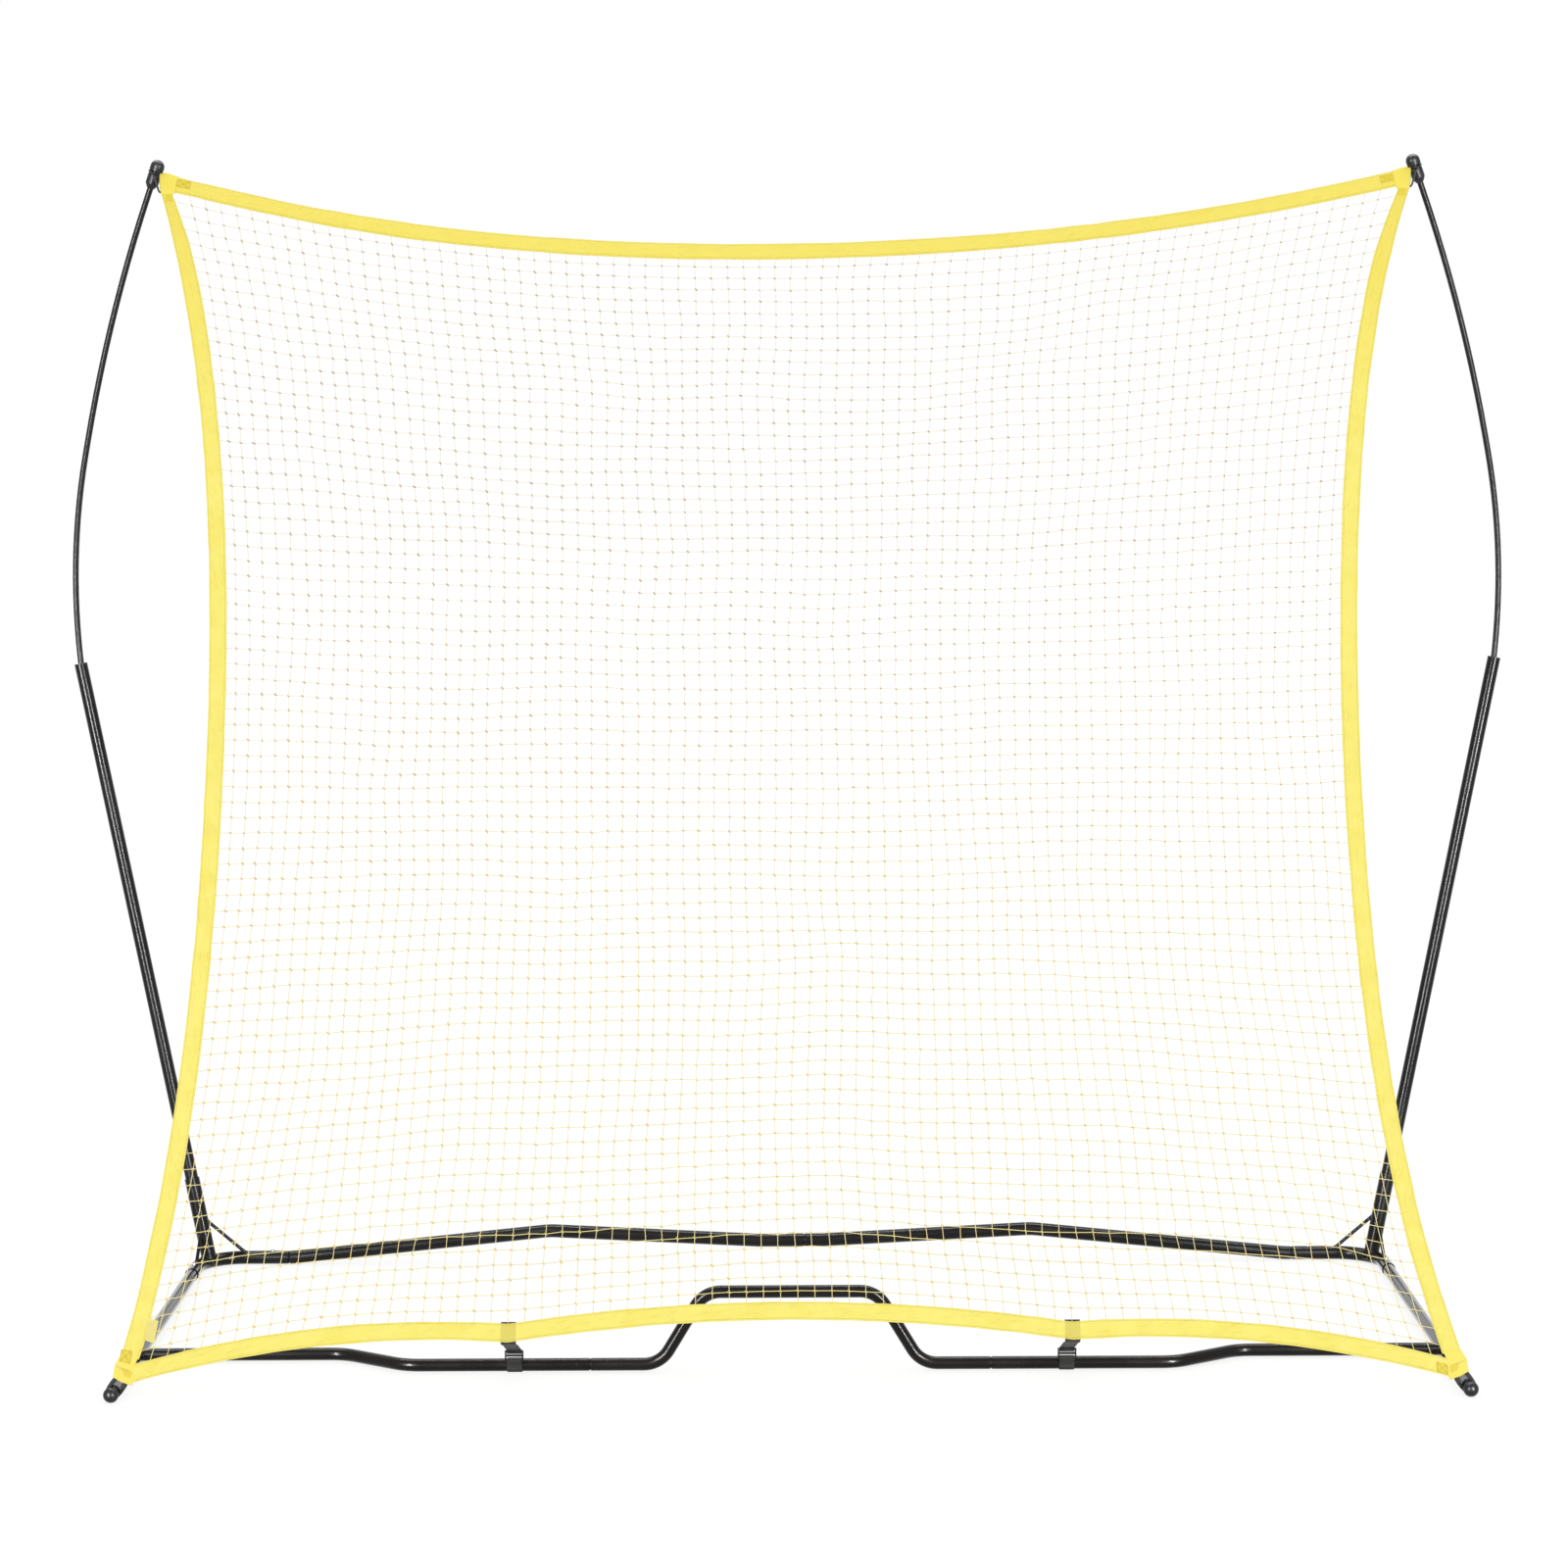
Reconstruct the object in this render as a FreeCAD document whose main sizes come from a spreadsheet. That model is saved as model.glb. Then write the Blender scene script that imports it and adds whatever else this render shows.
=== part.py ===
"""Free-standing ball rebounder: a net held by two bowed rods over a steel tube ground frame.

Millimetres and degrees. X runs to the right, Y to the back and Z up, seen by the player in front of the net.
The origin lies on the ground, in the middle of the whole object's box. Every piece is built for the right
hand side, where it has a twin, and the left one is its mirror image.
"""

import FreeCAD
import Part
import math
import os
import Sketcher
from FreeCAD import Placement, Rotation, Vector

DOC = FreeCAD.newDocument("Rebounder")
SHEET = DOC.addObject("Spreadsheet::Sheet", "Sizes")

# Driving sizes: alias, value and meaning. Distances called back are measured from the line of the two knobs.
SIZES = (
    ("knob_spacing", 2200.0, "centre to centre of the two knobs"),
    ("knob_diameter", 25.0, "ball of the knob"),
    ("knob_neck", 16.0, "neck behind the ball"),
    ("knob_neck_end", 21.0, "back end of the neck"),
    ("knob_collar", 3.0, "collar between neck and tube"),
    ("knob_plug", 25.0, "plug inside the side tube"),
    ("plug_gap", 0.2, "radial gap of plugs in tubes"),
    ("base_depth", 928.0, "rear bar behind the knobs"),
    ("corner_tube", 25.0, "outer diameter of corners and rear bar"),
    ("corner_bend", 80.0, "bend radius of the corner"),
    ("tube_wall", 1.2, "wall of all frame tubes"),
    ("slip_gap", 0.3, "radial gap of a slip joint"),
    ("spigot_length", 50.0, "overlap of a slip joint"),
    ("swage_length", 4.0, "taper of a swaged end"),
    ("side_seam_back", 795.0, "front end of the corner's side arm"),
    ("rear_seam_half", 940.0, "inner end of the corner's rear arm"),
    ("button_inset", 30.0, "snap button from the seam"),
    ("arch_foot_half", 925.0, "where the rear bar starts to climb"),
    ("arch_peak_half", 450.0, "highest point of the rear bar"),
    ("arch_peak_height", 61.0, "height of its centre line there"),
    ("arch_flat_half", 60.0, "where it turns level again"),
    ("arch_centre_height", 41.0, "height of its centre line in the middle"),
    ("arch_centre_seam", 25.0, "middle joint from the middle plane"),
    ("arch_end_bend", 180.0, "gentle bends of the rear bar"),
    ("arch_peak_bend", 150.0, "bend at the peak"),
    ("front_tube", 21.5, "outer diameter of the front bar"),
    ("front_outer_back", 245.0, "outer stretch of the front bar"),
    ("front_inner_back", 172.0, "inner stretch of the front bar"),
    ("crank_outer_half", 752.0, "outer bend of the crank"),
    ("crank_inner_half", 641.0, "inner bend of the crank"),
    ("crank_bend", 80.0, "bend radius of the crank"),
    ("front_seam_half", 335.0, "joint of outer and centre bar"),
    ("hump_foot_half", 217.0, "foot of the hump"),
    ("hump_top_half", 143.0, "shoulder of the hump"),
    ("hump_height", 135.0, "centre line of the hump's top"),
    ("hump_bend", 48.0, "bend radius of the hump"),
    ("socket_diameter", 28.0, "socket that the upright stands in"),
    ("socket_length", 160.0, "socket along its axis"),
    ("socket_turn", 38.0, "place of the socket on the corner's bend"),
    ("upright_tube", 24.0, "outer diameter of the upright"),
    ("upright_start", 18.0, "foot of the upright above the corner's centre line"),
    ("upright_reach", 1137.0, "mouth of the upright from the corner's centre line"),
    ("lean_out", 11.44, "outward lean of the upright"),
    ("lean_back", 3.59, "backward lean of the upright"),
    ("brace_diameter", 6.5, "brace rods"),
    ("inner_brace_height", 90.0, "inner brace up the socket"),
    ("inner_brace_half", 1010.0, "inner brace on the rear arm"),
    ("outer_brace_height", 69.0, "outer brace up the socket"),
    ("outer_brace_back", 838.0, "outer brace on the side arm"),
    ("rod_diameter", 11.0, "bowed rod"),
    ("rod_gap", 0.3, "radial gap round the rod"),
    ("rod_foot_depth", 58.0, "foot of the rod below the upright's mouth"),
    ("rod_foot_offset", 4.7, "foot of the rod outside the upright's axis"),
    ("rod_foot_angle", 4.2, "rod to upright at the foot"),
    ("rod_foot_run", 233.4, "foot to lower bend"),
    ("rod_lower_turn", 21.5, "turn of the lower bend"),
    ("rod_lower_bend", 1150.0, "radius of the lower bend"),
    ("rod_middle_run", 480.0, "lower bend to upper bend"),
    ("rod_upper_turn", 10.1, "turn of the upper bend"),
    ("rod_upper_bend", 2650.0, "radius of the upper bend"),
    ("rod_tip_run", 278.0, "upper bend to the rod's end"),
    ("rod_heading", 23.85, "plan angle of the bow, from straight inward"),
    ("bush_length", 25.0, "bush inside the upright"),
    ("bush_flange", 2.0, "rim of the bush"),
    ("seat_top", 36.0, "rod seat below the mouth"),
    ("seat_bottom", 75.0, "underside of the rod seat"),
    ("cap_bore_depth", 30.0, "rod inside the tip cap"),
    ("cap_skirt_end", 14.0, "diameter where the rod enters the cap"),
    ("cap_skirt_length", 8.0, "tapered part of the skirt"),
    ("cap_skirt_round", 8.0, "radius where the taper meets the skirt"),
    ("cap_edge_round", 2.0, "rounded edges of skirt and dome"),
    ("cap_bulge", 23.6, "widest part of the skirt"),
    ("cap_bulge_end", 26.0, "upper end of the skirt"),
    ("cap_neck", 17.2, "neck between skirt and dome"),
    ("cap_neck_end", 33.0, "upper end of the neck"),
    ("cap_neck_slope", 2.0, "slope at both ends of the neck"),
    ("cap_dome", 25.0, "dome of the cap"),
    ("cap_length", 52.5, "whole cap"),
    ("cap_top_flat", 0.5, "radius of the flat on top of the dome"),
    ("button_diameter", 6.4, "snap button"),
    ("button_gap", 0.3, "radial gap round a snap button"),
    ("button_stand", 2.8, "snap button above the tube"),
    ("leaf_width", 8.0, "leaf of the button's spring"),
    ("leaf_thickness", 0.6, "leaf of the button's spring"),
    ("leaf_gap", 0.35, "leaf to the tube's inner wall"),
    ("leaf_reach", 14.6, "moving leaf past the button"),
    ("leaf_tail", 5.0, "moving leaf behind the button"),
    ("leaf_end_gap", 0.4, "moving leaf to the fixed leaf's bend"),
    ("net_foot_back", 12.0, "foot of the net's plane"),
    ("net_foot_height", 30.0, "foot of the net's plane above the ground"),
    ("net_tilt", 23.23, "net's plane from upright"),
    ("net_thickness", 2.0, "net strand"),
    ("net_strand", 6.0, "strand width of the net's simple form"),
    ("net_gap", 0.3, "net to band"),
    ("net_cells", 17, "cells of the net's simple form, each way"),
    ("band_width", 30.0, "edge webbing"),
    ("band_thickness", 3.0, "edge webbing, doubled"),
    ("side_low", 41.0, "lower end of the side bands, up the net's plane"),
    ("side_high", 2120.0, "upper end of the side bands"),
    ("side_half_low", 1088.0, "outer edge of the side band at its lower end"),
    ("side_half_quarter", 1001.5, "at a quarter of its height"),
    ("side_half_waist", 985.0, "at half its height"),
    ("side_half_upper", 1013.5, "at three quarters"),
    ("side_half_high", 1119.0, "at its upper end"),
    ("top_middle", 2018.5, "top edge of the top band in the middle"),
    ("top_rise", 143.5, "its rise to the corners"),
    ("top_half", 1123.0, "where that rise is reached"),
    ("top_band_half", 1094.0, "end of the top band"),
    ("bottom_middle", 126.5, "upper edge of the bottom band in the middle"),
    ("bottom_strap", 92.0, "the same at the straps"),
    ("bottom_corner", 29.0, "the same at the corners"),
    ("bottom_bulge", 26.5, "rise of the outer bay over its chord"),
    ("bottom_band_half", 1069.0, "end of the bottom band"),
    ("patch_thickness", 4.5, "folded corner patch"),
    ("low_patch_half", 1096.0, "outer tip of the low patch"),
    ("low_patch_tip", 7.0, "its height"),
    ("low_patch_foot", 3.0, "inner foot of the low patch"),
    ("low_patch_inner", 1059.5, "inner side of the low patch, clear of the net's corner"),
    ("low_patch_step", 33.0, "step over the bottom band"),
    ("low_patch_lap", 0.5, "low patch past the bottom band's upper edge"),
    ("high_patch_half", 1121.0, "outer tip of the high patch, clear of the cap"),
    ("high_patch_tip", 2159.0, "its height"),
    ("high_patch_drop", 3.0, "inner end of the high patch below its tip"),
    ("label_width", 14.0, "blank label"),
    ("label_height", 38.0, "blank label"),
    ("label_low", 60.0, "its lower end, up the net's plane"),
    ("label_thickness", 0.8, "blank label"),
    ("loop_gap", 0.4, "corner loops to what they go round"),
    ("loop_thickness", 3.5, "low corner loop"),
    ("loop_front", 15.5, "front face of the low corner loop, back"),
    ("loop_half", 13.0, "half width of the low corner loop"),
    ("loop_foot_half", 1.0, "half the flat at the loop's lowest point"),
    ("loop_ground_gap", 0.3, "low corner loop above the ground"),
    ("loop_top", 31.5, "top of the low corner loop"),
    ("cord_diameter", 3.5, "high corner loop"),
    ("cord_inset", 5.0, "high corner loop from the patch's corners"),
    ("strap_half", 459.0, "straps from the middle plane"),
    ("strap_width", 25.0, "strap webbing"),
    ("strap_thickness", 1.2, "strap webbing"),
    ("strap_gap", 0.2, "bar loop to the bar"),
    ("strap_stand", 3.0, "sewn end of the strap above the band"),
    ("buckle_angle", 140.0, "buckle's hinge seen from the bar, from straight back"),
    ("buckle_distance", 18.0, "buckle's hinge from the bar's axis"),
    ("buckle_lean", 5.7, "buckle from upright, towards the front"),
    ("buckle_width", 31.0, "ladder lock"),
    ("buckle_rail", 2.6, "width of its rails"),
    ("buckle_thickness", 3.0, "its rails and bars"),
    ("buckle_middle", 8.0, "middle bar from the hinge bar"),
    ("buckle_end", 15.5, "end bar from the hinge bar"),
    ("buckle_tail", 2.0, "rails past the hinge bar"),
    ("buckle_gap", 0.5, "strap to the buckle's bars"),
    ("eye_gap", 0.3, "webbing eye round the hinge bar"),
)


def fill_sheet():
    """Write the driving sizes into the sheet as text, each with its alias."""
    for row, (alias, value, meaning) in enumerate(SIZES, 1):
        SHEET.set(f"A{row}", str(value))
        SHEET.setAlias(f"A{row}", alias)
        SHEET.set(f"B{row}", meaning)
    DOC.recompute()


class Measure:
    """A size known both as a number and as the sheet expression that gives it."""

    def __init__(self, value, text):
        self.value = float(value)
        self.text = text

    def joined(self, other, sign, value):
        """Return the sum, difference, product or quotient of two sizes."""
        return Measure(value, f"({self.text} {sign} {other.text})")

    def __add__(self, other):
        other = as_measure(other)
        return self.joined(other, "+", self.value + other.value)

    def __sub__(self, other):
        other = as_measure(other)
        return self.joined(other, "-", self.value - other.value)

    def __mul__(self, other):
        other = as_measure(other)
        return self.joined(other, "*", self.value * other.value)

    def __truediv__(self, other):
        other = as_measure(other)
        return self.joined(other, "/", self.value / other.value)

    def __neg__(self):
        return Measure(-self.value, f"(-1 * {self.text})")


def as_measure(number):
    """Wrap a plain number, and pass a size through."""
    return number if isinstance(number, Measure) else Measure(number, str(number))


def size(alias):
    """Read one driving size from the sheet."""
    return Measure(float(SHEET.get(alias)), f"Sizes.{alias}")


def sine(angle):
    """Return the sine of an angle in degrees."""
    return Measure(math.sin(math.radians(angle.value)), f"sin({angle.text})")


def cosine(angle):
    """Return the cosine of an angle in degrees."""
    return Measure(math.cos(math.radians(angle.value)), f"cos({angle.text})")


fill_sheet()

ZERO = Measure(0, "0")
AXIS = size("knob_diameter") / 2
KNOB_HALF = size("knob_spacing") / 2
SIDE_TUBE = size("corner_tube") - size("tube_wall") * 2 - size("slip_gap") * 2
SPIGOT_HALF = size("corner_tube") / 2 - size("tube_wall") - size("slip_gap")


def upright_direction():
    """Return the unit vector up the right-hand upright."""
    out = math.tan(math.radians(size("lean_out").value))
    back = math.tan(math.radians(size("lean_back").value))
    return Vector(out, back, 1).normalize()


def knob_line():
    """Return the world Y of the knobs, which puts the origin in the middle of the object's depth."""
    along = upright_direction()
    turn = math.radians(size("socket_turn").value)
    bend = size("corner_bend").value
    base = size("base_depth").value - bend + bend * math.sin(turn)
    mouth = base + along.y * (size("upright_reach") + size("bush_flange")).value
    rim = size("upright_tube").value / 2 * math.sqrt(1 - along.y**2)
    return (size("knob_diameter").value / 2 - mouth - rim) / 2


SHEET.set(f"A{len(SIZES) + 1}", repr(round(knob_line(), 3)))
SHEET.setAlias(f"A{len(SIZES) + 1}", "knob_line")
SHEET.set(f"B{len(SIZES) + 1}", "world Y of the knobs, from the sizes above")
DOC.recompute()


def back(distance):
    """Turn a distance behind the knobs into a world Y."""
    return size("knob_line") + distance


REAR_Y = back(size("base_depth"))
OUTER_Y = back(size("front_outer_back"))
INNER_Y = back(size("front_inner_back"))
PIECES = []


def keep(piece, label):
    """Give a finished piece its name and remember it for the export."""
    piece.Label = label
    PIECES.append(piece)
    return piece


def both_sides(piece, name):
    """Keep a right-hand piece and add its mirror image on the left."""
    keep(piece, f"{name}_right")
    twin = DOC.addObject("Part::Mirroring", f"{name}_twin")
    twin.Source = piece
    twin.Normal = Vector(1, 0, 0)
    keep(twin, f"{name}_left")


def new_body(name):
    """Start a body."""
    return DOC.addObject("PartDesign::Body", name)


def plane(body, role):
    """Return one of a body's own origin planes."""
    return [feature for feature in body.Origin.OriginFeatures if feature.Role == role][0]


def attach(feature, body, role, x=ZERO, y=ZERO, lift=ZERO):
    """Lay a feature on an origin plane, shifted in the plane and lifted along its normal."""
    feature.AttachmentSupport = (plane(body, role), [""])
    feature.MapMode = "FlatFace"
    feature.AttachmentOffset = Placement(Vector(x.value, y.value, lift.value), Rotation())
    for letter, measure in zip("xyz", (x, y, lift)):
        feature.setExpression(f"AttachmentOffset.Base.{letter}", measure.text)


def new_sketch(body, role, x=ZERO, y=ZERO, lift=ZERO):
    """Start a sketch on an origin plane."""
    sketch = body.newObject("Sketcher::SketchObject", "Sketch")
    attach(sketch, body, role, x, y, lift)
    return sketch


def drive(sketch, constraint, measure):
    """Add a constraint and bind it to the sheet."""
    index = sketch.addConstraint(constraint)
    sketch.setExpression(f"Constraints[{index}]", measure.text)


def fix_point(sketch, geometry, end, x, y):
    """Hold one point of a sketch at its sizes."""
    drive(sketch, Sketcher.Constraint("DistanceX", -1, 1, geometry, end, x.value), x)
    drive(sketch, Sketcher.Constraint("DistanceY", -1, 1, geometry, end, y.value), y)


def add_circle(sketch, x, y, diameter):
    """Draw a circle held by its centre and diameter."""
    circle = Part.Circle(Vector(x.value, y.value, 0), Vector(0, 0, 1), diameter.value / 2)
    index = sketch.addGeometry(circle, False)
    fix_point(sketch, index, 3, x, y)
    drive(sketch, Sketcher.Constraint("Diameter", index, diameter.value), diameter)


def rounded_corner(before, corner, after, radius):
    """Return the two tangent points, the centre and the sense of a corner's arc."""
    into = (corner - before).normalize()
    out = (after - corner).normalize()
    reach = radius * math.tan(into.getAngle(out) / 2)
    left = into.cross(out).z > 0
    side = Vector(-into.y, into.x, 0) * (1 if left else -1)
    start = corner - into * reach
    return start, corner + out * reach, start + side * radius, left


def add_outline(sketch, corners, closed):
    """Draw lines through the corners, each a pair of sizes with a radius or None, all held by the sheet."""
    count = len(corners)
    points = [Vector(x.value, y.value, 0) for x, y, _ in corners]
    inner = range(count) if closed else range(1, count - 1)
    arcs = {}
    for k in inner:
        if corners[k][2] is not None:
            arcs[k] = rounded_corner(points[k - 1], points[k], points[(k + 1) % count], corners[k][2].value)
    lines = []
    for k in range(count if closed else count - 1):
        after = (k + 1) % count
        start = arcs[k][1] if k in arcs else points[k]
        end = arcs[after][0] if after in arcs else points[after]
        lines.append(sketch.addGeometry(Part.LineSegment(start, end), False))
    for k, (x, y, radius) in enumerate(corners):
        if k not in inner:
            fix_point(sketch, lines[0] if k == 0 else lines[-1], 1 if k == 0 else 2, x, y)
        elif k in arcs:
            join_arc(sketch, arcs[k], lines[k - 1], lines[k], x, y, radius)
        else:
            sketch.addConstraint(Sketcher.Constraint("Coincident", lines[k - 1], 2, lines[k], 1))
            fix_point(sketch, lines[k], 1, x, y)


def join_arc(sketch, arc, line_in, line_out, x, y, radius):
    """Add the arc between two lines, tangent to both, with their corner held at its sizes."""
    start, end, centre, left = arc
    angles = [math.atan2(p.y - centre.y, p.x - centre.x) for p in (start, end)]
    if not left:
        angles.reverse()
    circle = Part.Circle(centre, Vector(0, 0, 1), radius.value)
    index = sketch.addGeometry(Part.ArcOfCircle(circle, angles[0], angles[1]), False)
    first, last = (1, 2) if left else (2, 1)
    sketch.addConstraint(Sketcher.Constraint("Tangent", line_in, 2, index, first))
    sketch.addConstraint(Sketcher.Constraint("Tangent", index, last, line_out, 1))
    drive(sketch, Sketcher.Constraint("Radius", index, radius.value), radius)
    corner = sketch.addGeometry(Part.Point(Vector(x.value, y.value, 0)), True)
    sketch.addConstraint(Sketcher.Constraint("PointOnObject", corner, 1, line_in))
    sketch.addConstraint(Sketcher.Constraint("PointOnObject", corner, 1, line_out))
    fix_point(sketch, corner, 1, x, y)


def sweep(body, path, profile):
    """Sweep a profile sketch along a path sketch."""
    pipe = body.newObject("PartDesign::AdditivePipe", "Tube")
    pipe.Profile = profile
    pipe.Spine = (path, [])
    return pipe


def ring_profile(body, role, lift, x, y, outer, wall):
    """Draw a tube's section, or a rod's where there is no wall."""
    profile = new_sketch(body, role, lift=lift)
    add_circle(profile, x, y, outer)
    if wall is not None:
        add_circle(profile, x, y, outer - wall * 2)
    return profile


def flat_pipe(name, y, corners, outer, wall):
    """Make a bent tube whose centre line lies in the XZ plane at the given Y, starting along X."""
    body = new_body(name)
    path = new_sketch(body, "XZ_Plane", lift=-y)
    add_outline(path, corners, False)
    profile = ring_profile(body, "YZ_Plane", corners[0][0], y, corners[0][1], outer, wall)
    sweep(body, path, profile)
    return body


def turned(body, role, x, y, lift, axis, corners):
    """Revolve a closed outline about one axis of its sketch."""
    sketch = new_sketch(body, role, x, y, lift)
    add_outline(sketch, corners, True)
    turn = body.newObject("PartDesign::Revolution", "Turned")
    turn.Profile = sketch
    turn.ReferenceAxis = (sketch, [axis])
    turn.Angle = 360
    return turn


def prism(body, role, lift, corners, thickness):
    """Pad a closed outline by the given thickness, half to each side."""
    sketch = new_sketch(body, role, lift=lift)
    add_outline(sketch, corners, True)
    pad = body.newObject("PartDesign::Pad", "Pad")
    pad.Profile = sketch
    pad.Midplane = True
    pad.Length = thickness.value
    pad.setExpression("Length", thickness.text)
    return pad


def straight_tube(body, role, x, y, lift, length, outer, wall, forward=True):
    """Pad a ring from a plane, along its normal or against it."""
    profile = ring_profile(body, role, lift, x, y, outer, wall)
    pad = body.newObject("PartDesign::Pad", "Tube")
    pad.Profile = profile
    pad.Reversed = not forward
    pad.Length = length.value
    pad.setExpression("Length", length.text)
    return pad


def drill(body, role, x, y, lift, diameter, depth):
    """Cut a round hole along a plane's normal, from the lift upward."""
    hole = body.newObject("PartDesign::SubtractiveCylinder", "Hole")
    attach(hole, body, role, x, y, lift)
    hole.Radius = diameter.value / 2
    hole.setExpression("Radius", (diameter / 2).text)
    hole.Height = depth.value
    hole.setExpression("Height", depth.text)
    return hole


def button_hole(body, x, y, axis_height):
    """Drill a snap button's hole through the upper wall of a tube."""
    diameter = size("button_diameter") + size("button_gap") * 2
    drill(body, "XY_Plane", x, y, axis_height, diameter, size("corner_tube"))


def swaged_end(body, y, height, seam, outward, outer):
    """Add the reduced end of a tube that lies along X, which slips into its neighbour's bore at the seam."""
    wall = size("tube_wall")
    full = outer / 2
    slim = full - wall - size("slip_gap")
    root = seam - size("swage_length") * outward
    tip = seam + size("spigot_length") * outward
    corners = [
        (root, full, None), (seam, slim, None), (tip, slim, None),
        (tip, slim - wall, None), (seam, slim - wall, None), (root, full - wall, None),
    ]
    turned(body, "XZ_Plane", ZERO, height, -y, "H_Axis", corners)


def corner_path(body):
    """Draw the corner's centre line, from the side arm's end round to the rear arm's end."""
    path = new_sketch(body, "XY_Plane", lift=AXIS)
    corners = [
        (KNOB_HALF, back(size("side_seam_back")), None),
        (KNOB_HALF, REAR_Y, size("corner_bend")),
        (size("rear_seam_half"), REAR_Y, None),
    ]
    add_outline(path, corners, False)
    return path


def make_corner(name, wall):
    """Make the rear corner, hollow where a wall is given."""
    body = new_body(name)
    path = corner_path(body)
    seam = back(size("side_seam_back"))
    profile = ring_profile(body, "XZ_Plane", -seam, KNOB_HALF, AXIS, size("corner_tube"), wall)
    sweep(body, path, profile)
    return body


def rear_corners():
    """Make the bent rear corners with their button holes."""
    body = make_corner("rear_corner", size("tube_wall"))
    button_hole(body, KNOB_HALF, back(size("side_seam_back") + size("button_inset")), AXIS)
    button_hole(body, size("rear_seam_half") + size("button_inset"), REAR_Y, AXIS)
    both_sides(body, "rear_corner")


def rear_bar(name, inner_end):
    """Make one half of the arched rear bar, from its outer swaged end to the given inner end."""
    end_bend = size("arch_end_bend")
    seam = size("rear_seam_half")
    corners = [
        (seam - size("swage_length"), AXIS, None),
        (size("arch_foot_half"), AXIS, end_bend),
        (size("arch_peak_half"), size("arch_peak_height"), size("arch_peak_bend")),
        (size("arch_flat_half"), size("arch_centre_height"), end_bend),
        (inner_end, size("arch_centre_height"), None),
    ]
    body = flat_pipe(name, REAR_Y, corners, size("corner_tube"), size("tube_wall"))
    swaged_end(body, REAR_Y, AXIS, seam, 1, size("corner_tube"))
    button_hole(body, seam + size("button_inset"), REAR_Y, AXIS)
    return body


def rear_bars():
    """Make both halves of the rear bar: the right one is swaged into the left one's inner end."""
    centre_height = size("arch_centre_height")
    seam = size("arch_centre_seam")
    right = rear_bar("rear_bar_right", seam + size("swage_length"))
    swaged_end(right, REAR_Y, centre_height, seam, -1, size("corner_tube"))
    button_hole(right, ZERO, REAR_Y, centre_height)
    keep(right, "rear_bar_right")
    left = rear_bar("rear_bar_blank", -seam)
    button_hole(left, ZERO, REAR_Y, centre_height)
    twin = DOC.addObject("Part::Mirroring", "rear_bar_twin")
    twin.Source = left
    twin.Normal = Vector(1, 0, 0)
    keep(twin, "rear_bar_left")


def side_tube_start():
    """Return the world Y of the side tube's front end."""
    return back(size("knob_neck_end") + size("knob_collar"))


def side_tubes():
    """Make the straight side tubes, which slip into the corners' side arms."""
    body = new_body("side_tube")
    start = side_tube_start()
    end = back(size("side_seam_back") + size("spigot_length"))
    straight_tube(body, "XZ_Plane", KNOB_HALF, AXIS, -start, end - start, SIDE_TUBE, size("tube_wall"), False)
    button_hole(body, KNOB_HALF, back(size("side_seam_back") + size("button_inset")), AXIS)
    both_sides(body, "side_tube")


def outer_front_bars():
    """Make the cranked outer front bars, each fitted to the side tube that it is welded to."""
    body = new_body("front_bar")
    path = new_sketch(body, "XY_Plane", lift=AXIS)
    crank = size("crank_bend")
    corners = [
        (KNOB_HALF, OUTER_Y, None),
        (size("crank_outer_half"), OUTER_Y, crank),
        (size("crank_inner_half"), INNER_Y, crank),
        (size("front_seam_half"), INNER_Y, None),
    ]
    add_outline(path, corners, False)
    profile = ring_profile(body, "YZ_Plane", KNOB_HALF, OUTER_Y, AXIS, size("front_tube"), size("tube_wall"))
    sweep(body, path, profile)
    reach = size("front_tube")
    drill(body, "XZ_Plane", KNOB_HALF, AXIS, -(OUTER_Y + reach), SIDE_TUBE, reach * 2)
    both_sides(body, "front_bar")


def centre_front_bar():
    """Make the humped centre bar with a swaged end on each side."""
    seam = size("front_seam_half")
    end = seam - size("swage_length")
    foot = size("hump_foot_half")
    shoulder = size("hump_top_half")
    height = size("hump_height")
    bend = size("hump_bend")
    corners = [
        (-end, AXIS, None), (-foot, AXIS, bend), (-shoulder, height, bend),
        (shoulder, height, bend), (foot, AXIS, bend), (end, AXIS, None),
    ]
    body = flat_pipe("front_bar_centre", INNER_Y, corners, size("front_tube"), size("tube_wall"))
    swaged_end(body, INNER_Y, AXIS, seam, 1, size("front_tube"))
    swaged_end(body, INNER_Y, AXIS, -seam, -1, size("front_tube"))
    keep(body, "front_bar_centre")


def post_knobs():
    """Make the ball ended plugs in the side tubes' front ends, turned about the tube's axis."""
    body = new_body("post_knob")
    neck = size("knob_neck") / 2
    neck_end = back(size("knob_neck_end"))
    start = side_tube_start()
    plug = SIDE_TUBE / 2 - size("tube_wall") - size("plug_gap")
    tip = start + size("knob_plug")
    middle = back(ZERO)
    corners = [
        (middle, ZERO, None), (middle, neck, None), (neck_end, neck, None), (neck_end, SIDE_TUBE / 2, None),
        (start, SIDE_TUBE / 2, None), (start, plug, None), (tip, plug, None), (tip, ZERO, None),
    ]
    turned(body, "YZ_Plane", ZERO, AXIS, KNOB_HALF, "H_Axis", corners)
    ball = body.newObject("PartDesign::AdditiveSphere", "Ball")
    attach(ball, body, "XY_Plane", KNOB_HALF, middle, AXIS)
    ball.Radius = AXIS.value
    ball.setExpression("Radius", AXIS.text)
    both_sides(body, "post_knob")


def socket_base():
    """Return the point of the corner's centre line that the socket stands on."""
    turn = math.radians(size("socket_turn").value)
    bend = size("corner_bend").value
    x = KNOB_HALF.value - bend + bend * math.cos(turn)
    y = REAR_Y.value - bend + bend * math.sin(turn)
    return Vector(x, y, AXIS.value)


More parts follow.
